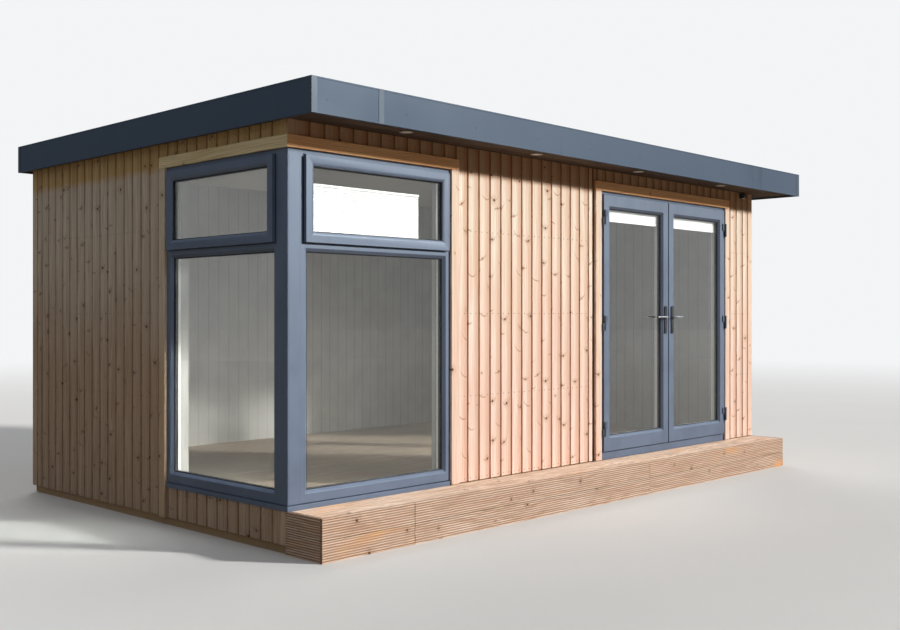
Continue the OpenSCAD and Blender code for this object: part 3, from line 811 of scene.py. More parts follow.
# HEAD_TRIM_SHADE: painted shade, a paler and yellower copy for the side wall's head board
HEAD_TRIM_SHADE = Timber("larch_head_trim_shaded", "larch_trim", (0.92, 0.80, 0.52), (0.78, 0.64, 0.38),
                         (0.42, 0.30, 0.16), knots=0.4)
SOFFIT_WOOD = Timber("soffit_boards", "soffit_boards", (0.17, 0.125, 0.095), (0.12, 0.085, 0.065),
                     (0.06, 0.042, 0.032), knots=0.4)
DECK_WOOD = Timber("deck_boards", "deck_timber", (0.86, 0.70, 0.58), (0.76, 0.54, 0.40), (0.26, 0.14, 0.09),
                   knots=0.3, contrast=1.1, groove=0.0045, stains=0.75, roughness=0.80)
FRAMING = Timber("framing_timber", "", (0.66, 0.50, 0.32), (0.56, 0.38, 0.22), (0.36, 0.20, 0.10),
                 from_place=True)
PLANK_FLOOR = Timber("floor_planks", "floor_boards", (0.52, 0.44, 0.36), (0.43, 0.35, 0.27),
                     (0.28, 0.21, 0.16), knots=0.15, roughness=0.50)
# SKY_SHEEN: painted reflection, tints the lamps' highlights on the metal sky blue
SKY_SHEEN: Colour = (0.70, 0.85, 1.0)
# FASCIA_METAL: its strong upright runs are painted reflection, streaks of sheen along the sheet
FASCIA_METAL = Coating("anthracite_fascia", "anthracite_metal", (0.024, 0.038, 0.066), (0.050, 0.078, 0.128),
                       0.50, specular=0.42, scale=1.4, runs=0.9, texture=420.0, depth=0.00003, tint=SKY_SHEEN)
# STRIP_METAL: painted sheen, lighter than the fascia that it covers
STRIP_METAL = Coating("anthracite_strip", "anthracite_metal", (0.045, 0.062, 0.092), (0.062, 0.085, 0.124),
                      0.48, specular=0.55, scale=3.0, texture=420.0, depth=0.00003, tint=SKY_SHEEN)
FRAME_COAT = Coating("anthracite_frame", "anthracite_frame", (0.095, 0.123, 0.190), (0.118, 0.153, 0.232),
                     0.50, specular=1.0, scale=5.0, runs=0.3, texture=1500.0, depth=0.00006, tint=SKY_SHEEN)
PROFILE_WHITE = Coating("white_profile", "white_lining", (0.84, 0.86, 0.86), (0.88, 0.90, 0.90), 0.40,
                        texture=1500.0, depth=0.00006)
# LINING_PAINT: grey rather than white, as painted shade of the room behind the glass
LINING_PAINT = Coating("white_lining", "", (0.38, 0.375, 0.36), (0.43, 0.425, 0.41), 0.65, specular=0.3,
                       texture=500.0, groove_pitch=0.1)
CEILING_PAINT = Coating("white_ceiling", "", (0.62, 0.62, 0.60), (0.66, 0.66, 0.64), 0.70, specular=0.3,
                        texture=500.0)
GASKET = Coating("gasket_rubber", "black_plastic", (0.012, 0.013, 0.016), (0.020, 0.021, 0.024), 0.6,
                 specular=0.3)
BLACK_MOULDING = Coating("black_moulding", "black_plastic", (0.022, 0.023, 0.026), (0.035, 0.036, 0.040),
                         0.38)
HINGE_METAL = Coating("hinge_coat", "hinge_metal", (0.070, 0.090, 0.130), (0.090, 0.115, 0.165), 0.36,
                      specular=1.0, tint=SKY_SHEEN)
DARK_METAL = Coating("dark_fitting", "handle_steel", (0.030, 0.035, 0.046), (0.048, 0.054, 0.066), 0.34,
                     specular=0.6)
SATIN_STEEL = Coating("satin_steel", "handle_steel", (0.62, 0.63, 0.65), (0.70, 0.71, 0.73), 0.27,
                      metallic=1.0, texture=300.0, stretch=(0.1, 1.0, 1.0), depth=0.00004)
NAIL_STEEL = Coating("nail_steel", "handle_steel", (0.30, 0.20, 0.14), (0.38, 0.28, 0.20), 0.5, metallic=0.4)
BEZEL = Coating("lamp_bezel", "lamp_bezel", (0.42, 0.40, 0.37), (0.50, 0.47, 0.43), 0.35, metallic=0.6)
# Painted light: the lenses of the unlit downlights glow faintly.
LENS = Coating("lamp_lens", "lamp_bezel", (0.70, 0.64, 0.54), (0.78, 0.72, 0.62), 0.30, glow=0.10)
SENSOR_LENS = Coating("sensor_lens", "black_plastic", (0.85, 0.85, 0.83), (0.90, 0.90, 0.88), 0.35)
MEMBRANE = Coating("roof_membrane", "roof_membrane", (0.055, 0.057, 0.062), (0.095, 0.098, 0.104), 0.75,
                   specular=0.25, scale=1.6, runs=0.5, texture=260.0, depth=0.0004)
BLIND_CLOTH = Weave("blind_fabric", "blind_fabric", (0.80, 0.81, 0.82))
BLIND_RAIL = Coating("blind_rail", "blind_fabric", (0.74, 0.75, 0.76), (0.78, 0.79, 0.80), 0.4)
GLASS = Pane("window_glass", "window_glass", tint=(0.940, 0.948, 0.942), shade=(0.965, 0.970, 0.966))


# Sub-assemblies

def timber_strip(low: Point, high: Point, along: int, seed: int, eased: float = 0.002) -> Piece:
    """One board with eased edges, its face across the wider of the other two axes.

    Args:
        low: Lowest corner.
        high: Highest corner.
        along: Axis of the grain.
        seed: Seed of its tone.
        eased: Radius of the edges.
    Returns:
        The board.
    """
    size = [b - a for a, b in zip(low, high)]
    across = max((axis for axis in (X, Y, Z) if axis != along), key=lambda axis: size[axis])
    margin = 0.01
    return Piece.block(low, high).softened(eased).grained(
        across, along, across, low[across] - margin, size[across] + 2 * margin, seed)


@dataclass
class Cladding:
    """Vertical larch boards with a rebated shadow groove, nailed in rows."""

    pitch: float = 0.108
    groove: float = 0.016
    groove_depth: float = 0.009
    thickness: float = 0.020
    eased: float = 0.003
    cupping: float = 0.0024
    first_groove: float = 1.331
    nail_radius: float = 0.0032
    nail_head: float = 0.0012
    nail_foot: float = 0.265
    nail_rise: float = 0.532
    nail_rows: int = 4
    nail_from_top: float = 0.035
    nail_share: float = 0.22
    first_seed: int = 40

    @property
    def face(self) -> float:
        """Width of a board beside its groove."""
        return self.pitch - self.groove

    def board(self, z0: float, z1: float) -> Piece:
        """One whole board, its groove to the left and its face slightly cupped, starting at x = 0."""
        piece = Piece.block((SEAM, self.groove_depth, z0), (self.pitch - SEAM, self.thickness, z1))
        piece.score(X, *(self.groove + share * self.face for share in (0.0, 0.25, 0.5, 0.75)))
        piece.push("-y", self.groove_depth, lambda centre: centre.x > self.groove)
        for share, depth in ((0.25, 0.75), (0.5, 1.0), (0.75, 0.75)):
            middle = self.groove + share * self.face
            piece.nudge(lambda vert: abs(vert.co.x - middle) < 1e-4 and vert.co.y < 1e-4,
                        (0.0, depth * self.cupping, 0.0))
        return piece.softened(self.eased)

    def run(self, x0: float, x1: float, z0: float, z1: float, seed: int) -> tuple[Piece, list[Piece]]:
        """Boards between two places on a wall, the last ones ripped to fit, and their nails.

        Args:
            x0: Left end.
            x1: Right end.
            z0: Foot.
            z1: Top.
            seed: Seed of the boards' tones.
        Returns:
            The boards as one piece, and the rows of nails.
        """
        first = math.floor((x0 - self.first_groove) / self.pitch)
        count = math.ceil((x1 - self.first_groove) / self.pitch) - first
        start = self.first_groove + first * self.pitch
        boards = self.board(z0, z1).repeated(count, self.pitch, 0.0, 0.0).moved(start, 0.0, 0.0)
        boards.ripped(x0, x1).grained(X, Z, X, start, self.pitch, seed)
        rows = [self.nail_foot + row * self.nail_rise for row in range(self.nail_rows)]
        rows.append(z1 - self.nail_from_top)
        return boards, [self.nails(start, count, x0, x1, row) for row in rows if z0 < row < z1]

    def nails(self, start: float, count: int, x0: float, x1: float, height: float) -> Piece:
        """One row of nail heads, two to a board.

        Args:
            start: Where the first board starts.
            count: Number of boards.
            x0: Left end of the run.
            x1: Right end of the run.
            height: The row's height.
        Returns:
            The heads as one piece.
        """
        margin = 0.2 * self.face
        skip = 1 if start + self.groove + margin < x0 else 0
        last = 1 if start + count * self.pitch - margin > x1 else 0
        head = Piece.rod((0.0, -self.nail_head + 0.001, 0.0), (0.0, 0.004, 0.0), self.nail_radius, 8)
        head.inset("-y", (self.nail_radius * 0.4, self.nail_head * 0.5))
        head.moved(start + skip * self.pitch + self.groove + self.nail_share * self.face, 0.0, height)
        head.repeated(2, (1 - 2 * self.nail_share) * self.face, 0.0, 0.0)
        return head.repeated(max(count - skip - last, 1), self.pitch, 0.0, 0.0)

    def build(self) -> None:
        """Clads the four walls."""
        edge = CORNER_BOARD + CORNER_GAP
        side_end = POD_DEPTH - CORNER_BOARD
        plans: dict[str, tuple[Finish, str, list[tuple[Wall, float, float, float, float]]]] = {
            "front": (LARCH, "cladding_front", [
                (Wall.FRONT, CORNER_BOARD, FRONT_WINDOW_END, HEAD, SOFFIT),
                (Wall.FRONT, FRONT_WINDOW_END, 2.792, DECK_CLAD_FOOT, SOFFIT),
                (Wall.FRONT, 2.812, 4.690, HEAD, SOFFIT),
                (Wall.FRONT, 4.690, POD_WIDTH - edge, DECK_CLAD_FOOT, SOFFIT)]),
            # Side and back walls take the shaded copy of the larch: painted shade.
            "side": (LARCH_SHADE, "cladding_sides", [
                (Wall.LEFT, edge, SIDE_WINDOW_START, CLAD_FOOT, SOFFIT),
                (Wall.LEFT, SIDE_WINDOW_START, side_end, HEAD, SOFFIT),
                (Wall.LEFT, SIDE_WINDOW_START, side_end, CLAD_FOOT, FLOOR),
                (Wall.RIGHT, edge, POD_DEPTH - edge, CLAD_FOOT, SOFFIT)]),
            "back": (LARCH_SHADE, "cladding_back", [
                (Wall.BACK, edge, POD_WIDTH - edge, CLAD_FOOT, SOFFIT)]),
        }
        for number, (label, (finish, node, runs)) in enumerate(plans.items()):
            boards, heads = [], []
            for step, (wall, *sizes) in enumerate(runs):
                piece, rows = self.run(*sizes, self.first_seed + 7 * number + step)
                boards.append(wall.place(piece))
                heads += [wall.place(row) for row in rows]
            united(boards).finished(f"{label}_cladding_boards", finish, node)
            united(heads).finished(f"{label}_cladding_nails", NAIL_STEEL)


@dataclass
class Trims:
    """Corner boards and the flat boards around the openings."""

    thickness: float = 0.020
    proud: float = 0.018
    width: float = 0.070
    door_start: float = 2.885
    door_end: float = 4.685
    corner_seed: int = 90
    upright_seed: int = 61
    head_seed: int = 71

    def corners(self) -> None:
        """The pairs of boards on the four corners."""
        wide, deep, thin = POD_WIDTH, POD_DEPTH, self.thickness
        boards = [
            (Wall.FRONT, 0.0, CORNER_BOARD, HEAD, SOFFIT),
            (Wall.LEFT, deep - CORNER_BOARD, deep - thin, HEAD, SOFFIT),
            (Wall.LEFT, deep - CORNER_BOARD, deep - thin, CLAD_FOOT, FLOOR),
            (Wall.FRONT, wide - CORNER_BOARD, wide, DECK_CLAD_FOOT, SOFFIT),
            (Wall.RIGHT, thin, CORNER_BOARD, DECK_CLAD_FOOT, SOFFIT),
            (Wall.RIGHT, thin, CORNER_BOARD, CLAD_FOOT, DECK_CLAD_FOOT),
            (Wall.LEFT, 0.0, CORNER_BOARD, CLAD_FOOT, SOFFIT),
            (Wall.RIGHT, deep - CORNER_BOARD, deep, CLAD_FOOT, SOFFIT),
            (Wall.BACK, thin, CORNER_BOARD, CLAD_FOOT, SOFFIT),
            (Wall.BACK, wide - CORNER_BOARD, wide - thin, CLAD_FOOT, SOFFIT),
        ]
        self.shared([(wall, timber_strip((x0, 0.0, z0), (x1, thin, z1), Z, self.corner_seed + number))
                     for number, (wall, x0, x1, z0, z1) in enumerate(boards)],
                    "corner_trim_boards", "corner_boards")

    def shared(self, pieces: list[tuple[Wall, Piece]], name: str, node: str) -> None:
        """Joins boards into a sunny and a shaded piece, the shaded one in a darker, greyer copy of the trim
        larch as painted shade.

        Args:
            pieces: The boards with their walls.
            name: The pieces' name.
            node: The CAD node that they replace.
        """
        for label, walls, finish in (("sunny", (Wall.FRONT, Wall.RIGHT), LARCH_TRIM),
                                     ("shaded", (Wall.LEFT, Wall.BACK), LARCH_TRIM_SHADE)):
            boards = [wall.place(piece) for wall, piece in pieces if wall in walls]
            united(boards).finished(f"{name}_{label}", finish, node)

    def uprights(self) -> None:
        """The upright boards beside the openings."""
        boards = [
            (Wall.FRONT, FRONT_WINDOW_END, DECK_CLAD_FOOT),
            (Wall.LEFT, SIDE_WINDOW_START - self.width, CLAD_FOOT),
            (Wall.FRONT, self.door_start - self.width, DECK_CLAD_FOOT),
            (Wall.FRONT, self.door_end, DECK_CLAD_FOOT),
        ]
        self.shared([(wall, timber_strip((x0, -self.proud, foot), (x0 + self.width, 0.0, HEAD), Z,
                                         self.upright_seed + number))
                     for number, (wall, x0, foot) in enumerate(boards)],
                    "opening_upright_boards", "opening_trim")

    def heads(self) -> None:
        """The boards along the heads, mitred at the corner."""
        front, side, door = (
            timber_strip((x0, -self.proud, HEAD), (x1, 0.0, HEAD + self.width), X, self.head_seed + number)
            for number, (x0, x1) in enumerate((
                (-self.proud, FRONT_WINDOW_END + self.width),
                (SIDE_WINDOW_START - self.width, POD_DEPTH + self.proud),
                (self.door_start - self.width, self.door_end + self.width))))
        front.trim((0.0, 0.0, 0.0), (-1.0, 1.0, 0.0))
        side.trim((POD_DEPTH, 0.0, 0.0), (1.0, 1.0, 0.0))
        Wall.FRONT.place(front).joined(Wall.FRONT.place(door)).finished(
            "opening_head_boards_sunny", HEAD_TRIM, "opening_trim")
        Wall.LEFT.place(side).finished("opening_head_board_shaded", HEAD_TRIM_SHADE, "opening_trim")

    def build(self) -> None:
        """Makes all trim boards."""
        self.corners()
        self.uprights()
        self.heads()


@dataclass
class Roof:
    """Fascia, cover strips, membrane, soffit, downlights and motion sensor."""

    front: float = 0.300
    right: float = 0.300
    left: float = 0.075
    back: float = 0.075
    panel: float = 0.020
    hem: float = 0.009
    hem_proud: float = 0.0013
    lip: float = 0.060
    lip_thickness: float = 0.004
    strip: float = 0.038
    strip_proud: float = 0.002
    strip_rim: float = 0.003
    strip_dent: float = 0.0004
    joint: float = 0.400
    screw_height: float = 2.459
    screw_start: float = 0.030
    screw_pitch: float = 0.587
    screw_radius: float = 0.0045
    screws: int = 10
    upstand: float = 0.033
    laps: tuple[float, ...] = (1.0, 2.2, 3.4, 4.6)
    lap_width: float = 0.05
    lap_height: float = 0.0025
    soffit_inside: float = 0.020
    light_start: float = 0.757
    light_end: float = 0.802
    light_out: float = 0.150
    light_radius: float = 0.042
    lights: int = 4
    sensor_from_end: float = 0.205
    sensor_size: float = 0.044
    sensor_depth: float = 0.045
    sensor_drop: float = 0.008
    sensor_lens: float = 0.0165

    @property
    def overhangs(self) -> dict[Wall, tuple[float, float, float]]:
        """How far the roof stands out on the left end, the right end and the face of each wall."""
        return {
            Wall.FRONT: (self.left, self.right, self.front),
            Wall.LEFT: (self.back, self.front, self.left),
            Wall.RIGHT: (self.front, self.back, self.right),
            Wall.BACK: (self.right, self.left, self.back),
        }

    def fascia(self, wall: Wall) -> Piece:
        """One wall's folded fascia with hems along its edges and a lip over the roof.

        Args:
            wall: The wall. Front and back run over the ends of the sides.
        Returns:
            The fascia.
        """
        start, end, out = self.overhangs[wall]
        turned, notch = 0.0, self.panel + SEAM
        if wall in (Wall.LEFT, Wall.RIGHT):
            turned, notch = self.panel, self.lip - self.panel + SEAM
        x0, x1 = turned - start, wall.length + end - turned
        piece = Piece.block((x0, -out, FASCIA_FOOT), (x1, self.panel - out, FASCIA_TOP))
        piece.score(Z, FASCIA_FOOT + self.hem, FASCIA_TOP - self.hem, FASCIA_TOP - self.lip_thickness)
        piece.score(X, x0 + notch, x1 - notch)
        piece.push("-y", self.hem_proud, lambda centre: centre.z < FASCIA_FOOT + self.hem)
        piece.push("-y", self.hem_proud, lambda centre: centre.z > FASCIA_TOP - self.hem)
        piece.push("+y", self.lip - self.panel, lambda centre: centre.z > FASCIA_TOP - self.lip_thickness,
                   lambda centre: x0 + notch < centre.x < x1 - notch)
        return wall.place(piece.softened(0.0010))

    def fascias(self) -> None:
        """The fascia on all four sides."""
        self.fascia(Wall.FRONT).finished("front_fascia_sheet", FASCIA_METAL, "fascia_front")
        self.fascia(Wall.BACK).finished("back_fascia_sheet", FASCIA_METAL, "fascia_back")
        left = self.fascia(Wall.LEFT)
        left.joined(self.fascia(Wall.RIGHT)).finished("side_fascia_sheets", FASCIA_METAL, "fascia_sides")

    def strip_at(self, wall: Wall, x0: float, x1: float, out: float) -> Piece:
        """A cover strip over the fascia, its face slightly dented.

        Args:
            wall: Its wall.
            x0: Its start.
            x1: Its end.
            out: How far the fascia's face stands out from the cladding.
        Returns:
            The strip.
        """
        piece = Piece.block((x0, -out - self.strip_proud, FASCIA_FOOT), (x1, 0.001 - out, FASCIA_TOP))
        return wall.place(piece.inset("-y", (self.strip_rim, -self.strip_dent)).softened(0.0006))

    def strips(self) -> None:
        """The strips on corners and joints, and the fascia's screws."""
        edge, proud = self.strip, self.strip_proud
        side_joint = (POD_DEPTH + self.back - self.front) / 2
        joints = {Wall.FRONT: self.joint, Wall.RIGHT: side_joint, Wall.BACK: self.joint}
        pieces = []
        for wall, (start, end, out) in self.overhangs.items():
            spans = [(-start - proud, edge - start), (wall.length + end - edge, wall.length + end + proud)]
            if wall in joints:
                spans.append((joints[wall], joints[wall] + edge))
            pieces += [self.strip_at(wall, x0, x1, out) for x0, x1 in spans]
        united(pieces).finished("fascia_cover_strips", STRIP_METAL, "fascia_strips")
        head = Piece.rod((self.screw_start, -self.front - 0.0018, self.screw_height),
                         (self.screw_start, 0.004 - self.front, self.screw_height), self.screw_radius, 12)
        head.inset("-y", (0.0018, -0.0006)).softened(0.0004, 1)
        Wall.FRONT.place(head.repeated(self.screws, self.screw_pitch, 0.0, 0.0)).finished(
            "fascia_screws", DARK_METAL, slot="hinge_metal")

    def membrane(self) -> None:
        """The roof membrane with its upstand and lapped seams."""
        rim = self.panel + 0.001
        piece = Piece.block((rim - self.left, rim - self.front, ROOF_TOP),
                            (POD_WIDTH + self.right - rim, POD_DEPTH + self.back - rim,
                             FASCIA_TOP - self.lip_thickness - 0.001))
        piece.sunk("+z", 0.003, self.upstand)
        for x in self.laps:
            piece.score(X, x, x + self.lap_width)
            piece.push("+z", self.lap_height, lambda centre: x < centre.x < x + self.lap_width,
                       lambda centre: centre.z < ROOF_TOP + 0.02)
        Wall.FRONT.place(piece.softened(0.0012, 1)).finished("roof_membrane_sheet", MEMBRANE, "roof_membrane")

    def soffit(self) -> None:
        """Boards under the overhang on all sides."""
        x0, x1 = self.panel - self.left, POD_WIDTH + self.right - self.panel
        y0, y1 = self.panel - self.front, POD_DEPTH + self.back - self.panel
        near_wall = self.soffit_inside
        deep, wide = POD_DEPTH - near_wall, POD_WIDTH - near_wall
        plans = [
            (X, Y, x0, x1, y0, near_wall, 3), (X, Y, x0, x1, deep, y1, 1),
            (Y, X, near_wall, deep, x0, near_wall, 1), (Y, X, near_wall, deep, wide, x1, 3),
        ]
        pieces = []
        for number, (along, across, start, end, near, far, count) in enumerate(plans):
            pitch = (far - near) / count
            low, high, shift = [0.0, 0.0, SOFFIT], [0.0, 0.0, ROOF], [0.0, 0.0, 0.0]
            low[along], high[along] = start, end
            low[across], high[across] = near + SEAM, near + pitch - SEAM
            shift[across] = pitch
            board = Piece.block(low, high).softened(0.003).repeated(count, *shift)
            pieces.append(Wall.FRONT.place(board.grained(across, along, across, near, pitch, 15 + number)))
        united(pieces).finished("soffit_boarding", SOFFIT_WOOD, "soffit")

    def downlights(self) -> None:
        """Round bezels with a sunk, slightly domed lens."""
        first, sides = self.light_start, 48
        pitch = (POD_WIDTH - self.light_end - first) / (self.lights - 1)
        ring = Piece.rod((first, -self.light_out, SOFFIT - 0.005), (first, -self.light_out, SOFFIT),
                         self.light_radius, sides)
        ring.inset("-z", (0.003, 0.0), (0.006, -0.003))
        lens = Piece.rod((first, -self.light_out, SOFFIT - 0.0035), (first, -self.light_out, SOFFIT - 0.001),
                         self.light_radius - 0.010, sides)
        lens.inset("-z", *[(0.008, 0.0004)] * 3)
        for piece, name, finish, nodes in ((ring.softened(0.0006), "downlight_bezels", BEZEL, ["downlights"]),
                                           (lens, "downlight_lenses", LENS, [])):
            Wall.FRONT.place(piece.repeated(self.lights, pitch, 0.0, 0.0)).finished(name, finish, *nodes)

    def sensor(self) -> None:
        """The motion sensor under the soffit."""
        x, half = POD_WIDTH - self.sensor_from_end, self.sensor_size / 2
        foot = SOFFIT - self.sensor_drop - self.sensor_size
        body = Piece.block((x - half, -self.sensor_depth, foot), (x + half, 0.0, foot + self.sensor_size))
        body.inset("-y", (0.005, 0.0), (0.002, -0.002)).softened(0.003)
        lens = Piece.primitive("uv_sphere", segments=24, ring_count=14, radius=self.sensor_lens,
                               location=(x, 0.0176 - self.sensor_depth, foot + 0.010))
        lens.trim((0.0, 0.0, foot + 0.026), (0.0, 0.0, 1.0))
        Wall.FRONT.place(body).finished("motion_sensor_body", BLACK_MOULDING, "motion_sensor")
        Wall.FRONT.place(lens).finished("motion_sensor_lens", SENSOR_LENS)

    def build(self) -> None:
        """Makes the roof's pieces."""
        for make in (self.fascias, self.strips, self.membrane, self.soffit, self.downlights, self.sensor):
            make()


@dataclass
class GlassUnit:
    """A sealed unit: two panes on a dark spacer, held by a rubber gasket."""

    thickness: float = 0.024
    pane: float = 0.004
    spacer: float = 0.004
    gasket: float = 0.005
    gasket_proud: float = 0.004
    overlap: float = 0.0008

    def parts(self, light: Rect, depth: float) -> tuple[Piece, Piece]:
        """The unit for one opening.

        Args:
            light: The daylight opening.
            depth: Depth of the outer pane's face.
        Returns:
            The panes, and the spacer with the gasket.
        """
        back, seat = depth + self.thickness, light.grown(self.overlap)
        panes = [Piece.slab(light, near, far).softened(0.0005, 1)
                 for near, far in ((depth, depth + self.pane), (back - self.pane, back))]
        spacer = moulded_ring(seat, depth + self.pane, back - self.pane, light.grown(-self.spacer),
                              0.001, 0.001)
        gasket = moulded_ring(seat, depth - self.gasket_proud, depth, light.grown(-self.gasket), 0.003, 0.002)
        inner = gasket.copied().moved(0.0, self.thickness + self.gasket_proud, 0.0)
        return united(panes), spacer.joined(gasket, inner)


class Fold(Enum):
    """The outline of one pleat: height within the pleat and side of the middle plane, row by row."""

    OPEN = ((0.0, -1.0), (0.5, 1.0))
    STACKED = ((0.0, -1.0), (0.80, -1.0), (0.87, 1.0), (0.93, 1.0))


@dataclass
class Blind:
    """Pleated blind fabric."""

    width: float
    pleats: int
    depth: float
    fold: Fold = Fold.OPEN
    cloth: float = 0.00012
    columns: int = 2

    @property
    def swing(self) -> float:
        """How far a fold lies from the middle plane."""
        return self.depth / 2 - self.cloth

    def length(self, height: float) -> float:
        """Length of the fabric when it is pulled flat."""
        rows = [(share * height / self.pleats, side * self.swing) for share, side in self.fold.value]
        rows.append((height / self.pleats, -self.swing))
        return self.pleats * sum(math.dist(row, after) for row, after in zip(rows, rows[1:]))

    def fabric(self, x0: float, middle: float, z0: float, z1: float) -> Piece:
        """The pleated fabric.

        Args:
            x0: Left edge.
            middle: Depth of its middle plane.
            z0: Foot.
            z1: Top.
        Returns:
            The fabric.
        """
        rows = len(self.fold.value)
        piece = Piece.primitive(
            "grid", (self.width, z1 - z0, 1.0), size=1.0, x_subdivisions=self.columns,
            y_subdivisions=self.pleats * rows, rotation=(math.pi / 2, 0.0, 0.0),
            location=(x0 + self.width / 2, middle, (z0 + z1) / 2))
        for number, (share, side) in enumerate(self.fold.value):
            lift = (share - number / rows) * (z1 - z0) / self.pleats
            piece.nudge(lambda vert: vert.index // (self.columns + 1) % rows == number,
                        (0.0, side * self.swing, lift))
        piece.trim((0.0, 0.0, z1), (0.0, 0.0, 1.0))
        return piece.modified("SOLIDIFY", thickness=self.cloth, offset=0.0)


@dataclass
class CornerGlazing:
    """The glazed corner: post, sill, frames, casements, glass and blind."""

    post: float = 0.085
    post_groove: tuple[float, float] = (0.005, 0.008)
    groove_depth: float = 0.0012
    sill_out: float = 0.008
    sill_top: float = 0.273
    sill_fall: float = 0.005
    depth: float = 0.070
    face: float = 0.070
    stile: float = 0.055
    bead: float = 0.018
    bead_sink: float = 0.0155
    transom: float = 1.674
    glass_depth: float = 0.020
    casement_inset: float = 0.030
    casement_side: float = 0.025
    casement_face: float = 0.060
    casement_proud: float = 0.024
    casement_slope: float = 0.012
    casement_fall: float = 0.007
    casement_bead: float = 0.003
    casement_sink: float = 0.008
    casement_rim: float = 0.003
    transom_lap: float = 0.021
    gap: float = 0.003
    shadow_gap: float = 0.004
    shadow_depth: float = 0.012
    blind_start: float = 0.185
    blind_width: float = 0.900
    blind_foot: float = 1.692
    blind_box: float = 0.034
    blind_drop: float = 0.171
    blind_rail: float = 0.012
    blind_out: float = 0.020

    def post_and_sill(self) -> None:
        """The corner post and the mitred sill."""
        post = Piece.block((0.0, 0.0, self.sill_top), (self.post, self.post, HEAD))
        low, high = self.post_groove
        for axis, side in ((X, "-y"), (Y, "-x")):
            post.score(axis, low, high)
            post.push(side, -self.groove_depth, lambda centre: low < centre[axis] < high)
        Wall.FRONT.place(post.softened(0.0012)).finished("corner_post_cover", FRAME_COAT, "corner_post")
        corner, far_corner = -self.sill_out, POD_DEPTH + self.sill_out
        sills = []
        for wall, x0, x1, mitre, turn in ((Wall.FRONT, corner, FRONT_WINDOW_END, corner, -1.0),
                                          (Wall.LEFT, SIDE_WINDOW_START, far_corner, far_corner, 1.0)):
            sill = Piece.block((x0, corner, FLOOR), (x1, self.depth, self.sill_top))
            sill.nudge(lambda vert: vert.co.y < 0.0 and vert.co.z > FLOOR + 0.02, (0.0, 0.0, -self.sill_fall))
            sill.sunk("-z", 0.0035, 0.003).trim((mitre, corner, 0.0), (turn, 1.0, 0.0))
            sills.append(wall.place(sill.softened(0.0015)))
        united(sills).finished("window_sill_profile", FRAME_COAT, "window_sill")

    def window(self, wall: Wall, x0: float, x1: float) -> dict[str, list[Piece]]:
        """One two-light window with its casement above.

        Args:
            wall: Its wall.
            x0: Left end.
            x1: Right end.
        Returns:
            Its parts by kind, on their wall.
        """
        lower = Rect(x0 + self.stile, x1 - self.stile, self.sill_top + self.face, self.transom)
        upper = Rect(lower.x0, lower.x1, self.transom + self.face, HEAD - self.face)
        flange = Rect(x0 + self.casement_side, x1 - self.casement_side, upper.z0 - self.transom_lap,
                      HEAD - self.casement_inset)
        light, seat = flange.grown(-self.casement_face), flange.grown(self.shadow_gap)
        ring = Piece.block((x0, 0.0, self.sill_top), (x1, self.depth, HEAD))
        ring.score(Z, (self.transom + self.bead + seat.z0) / 2)
        ring.panel("-y", lower, self.bead, self.bead_sink).panel("+y", lower).tunnel(lower)
        ring.panel("-y", seat).push("-y", -self.shadow_depth, seat.holds)
        ring.panel("-y", upper).panel("+y", upper).tunnel(upper)
        sash = Piece.slab(flange, -self.casement_proud, 0.0)
        inner_rim = light.grown(self.casement_bead + self.casement_rim)
        sash.panel("-y", inner_rim, self.casement_slope, self.casement_fall)
        sash.panel("-y", light, self.casement_bead, self.casement_sink)
        sash.panel("+y", upper.grown(-self.gap)).push("+y", self.depth - self.casement_proud, light.holds)
        sash.panel("+y", light).tunnel(light)
        unit, sash_depth = GlassUnit(), self.glass_depth - self.casement_proud
        low_glass, low_seal = unit.parts(lower, self.glass_depth)
        top_glass, top_seal = unit.parts(light, sash_depth)
        frame_out, frame_in = ring.softened(0.0016).split(self.glass_depth + unit.thickness)
        sash_out, sash_in = sash.softened(0.0016).split(sash_depth + unit.thickness)
        found = {"frame": [frame_out], "casement": [sash_out], "inside": [frame_in, sash_in],
                 "glass": [low_glass, top_glass], "seal": [low_seal, top_seal]}
        return {kind: [wall.place(piece) for piece in pieces] for kind, pieces in found.items()}

    def blind(self) -> None:
        """The top-down blind behind the front casement."""
        x0, x1 = self.blind_start, self.blind_start + self.blind_width
        box_top, rail_top = self.blind_foot + self.blind_box, HEAD - self.blind_drop
        middle, cloth_top = self.depth + self.blind_out, rail_top - self.blind_rail
        blind = Blind(self.blind_width, 28, 0.005)
        cloth = Wall.FRONT.place(blind.fabric(x0, middle, box_top, cloth_top))
        box = Piece.block((x0, self.depth + SEAM, self.blind_foot), (x1, middle + self.blind_out, box_top))
        rail = Piece.block((x0, middle - 0.008, cloth_top - 0.001), (x1, middle + 0.008, rail_top))
        rails = Wall.FRONT.place(box.softened(0.003).joined(rail.softened(0.002)))
        cloth.finished("window_blind_fabric", BLIND_CLOTH, "window_blind")
        rails.finished("window_blind_rails", BLIND_RAIL, "window_blind")
        blind.length(cloth_top - box_top)

    def build(self) -> None:
        """Makes the corner's pieces."""
        self.post_and_sill()
        front = self.window(Wall.FRONT, self.post, FRONT_WINDOW_END)
        side = self.window(Wall.LEFT, SIDE_WINDOW_START, POD_DEPTH - self.post)
        for kind, name, finish, *nodes in (("frame", "window_frame_profiles", FRAME_COAT, "window_frames"),
                                           ("casement", "casement_profiles", FRAME_COAT, "casements"),
                                           ("inside", "window_inner_profiles", PROFILE_WHITE),
                                           ("glass", "window_panes", GLASS, "window_glass"),
                                           ("seal", "window_gaskets", GASKET)):
            united(front[kind] + side[kind]).finished(name, finish, *nodes)
        self.blind()


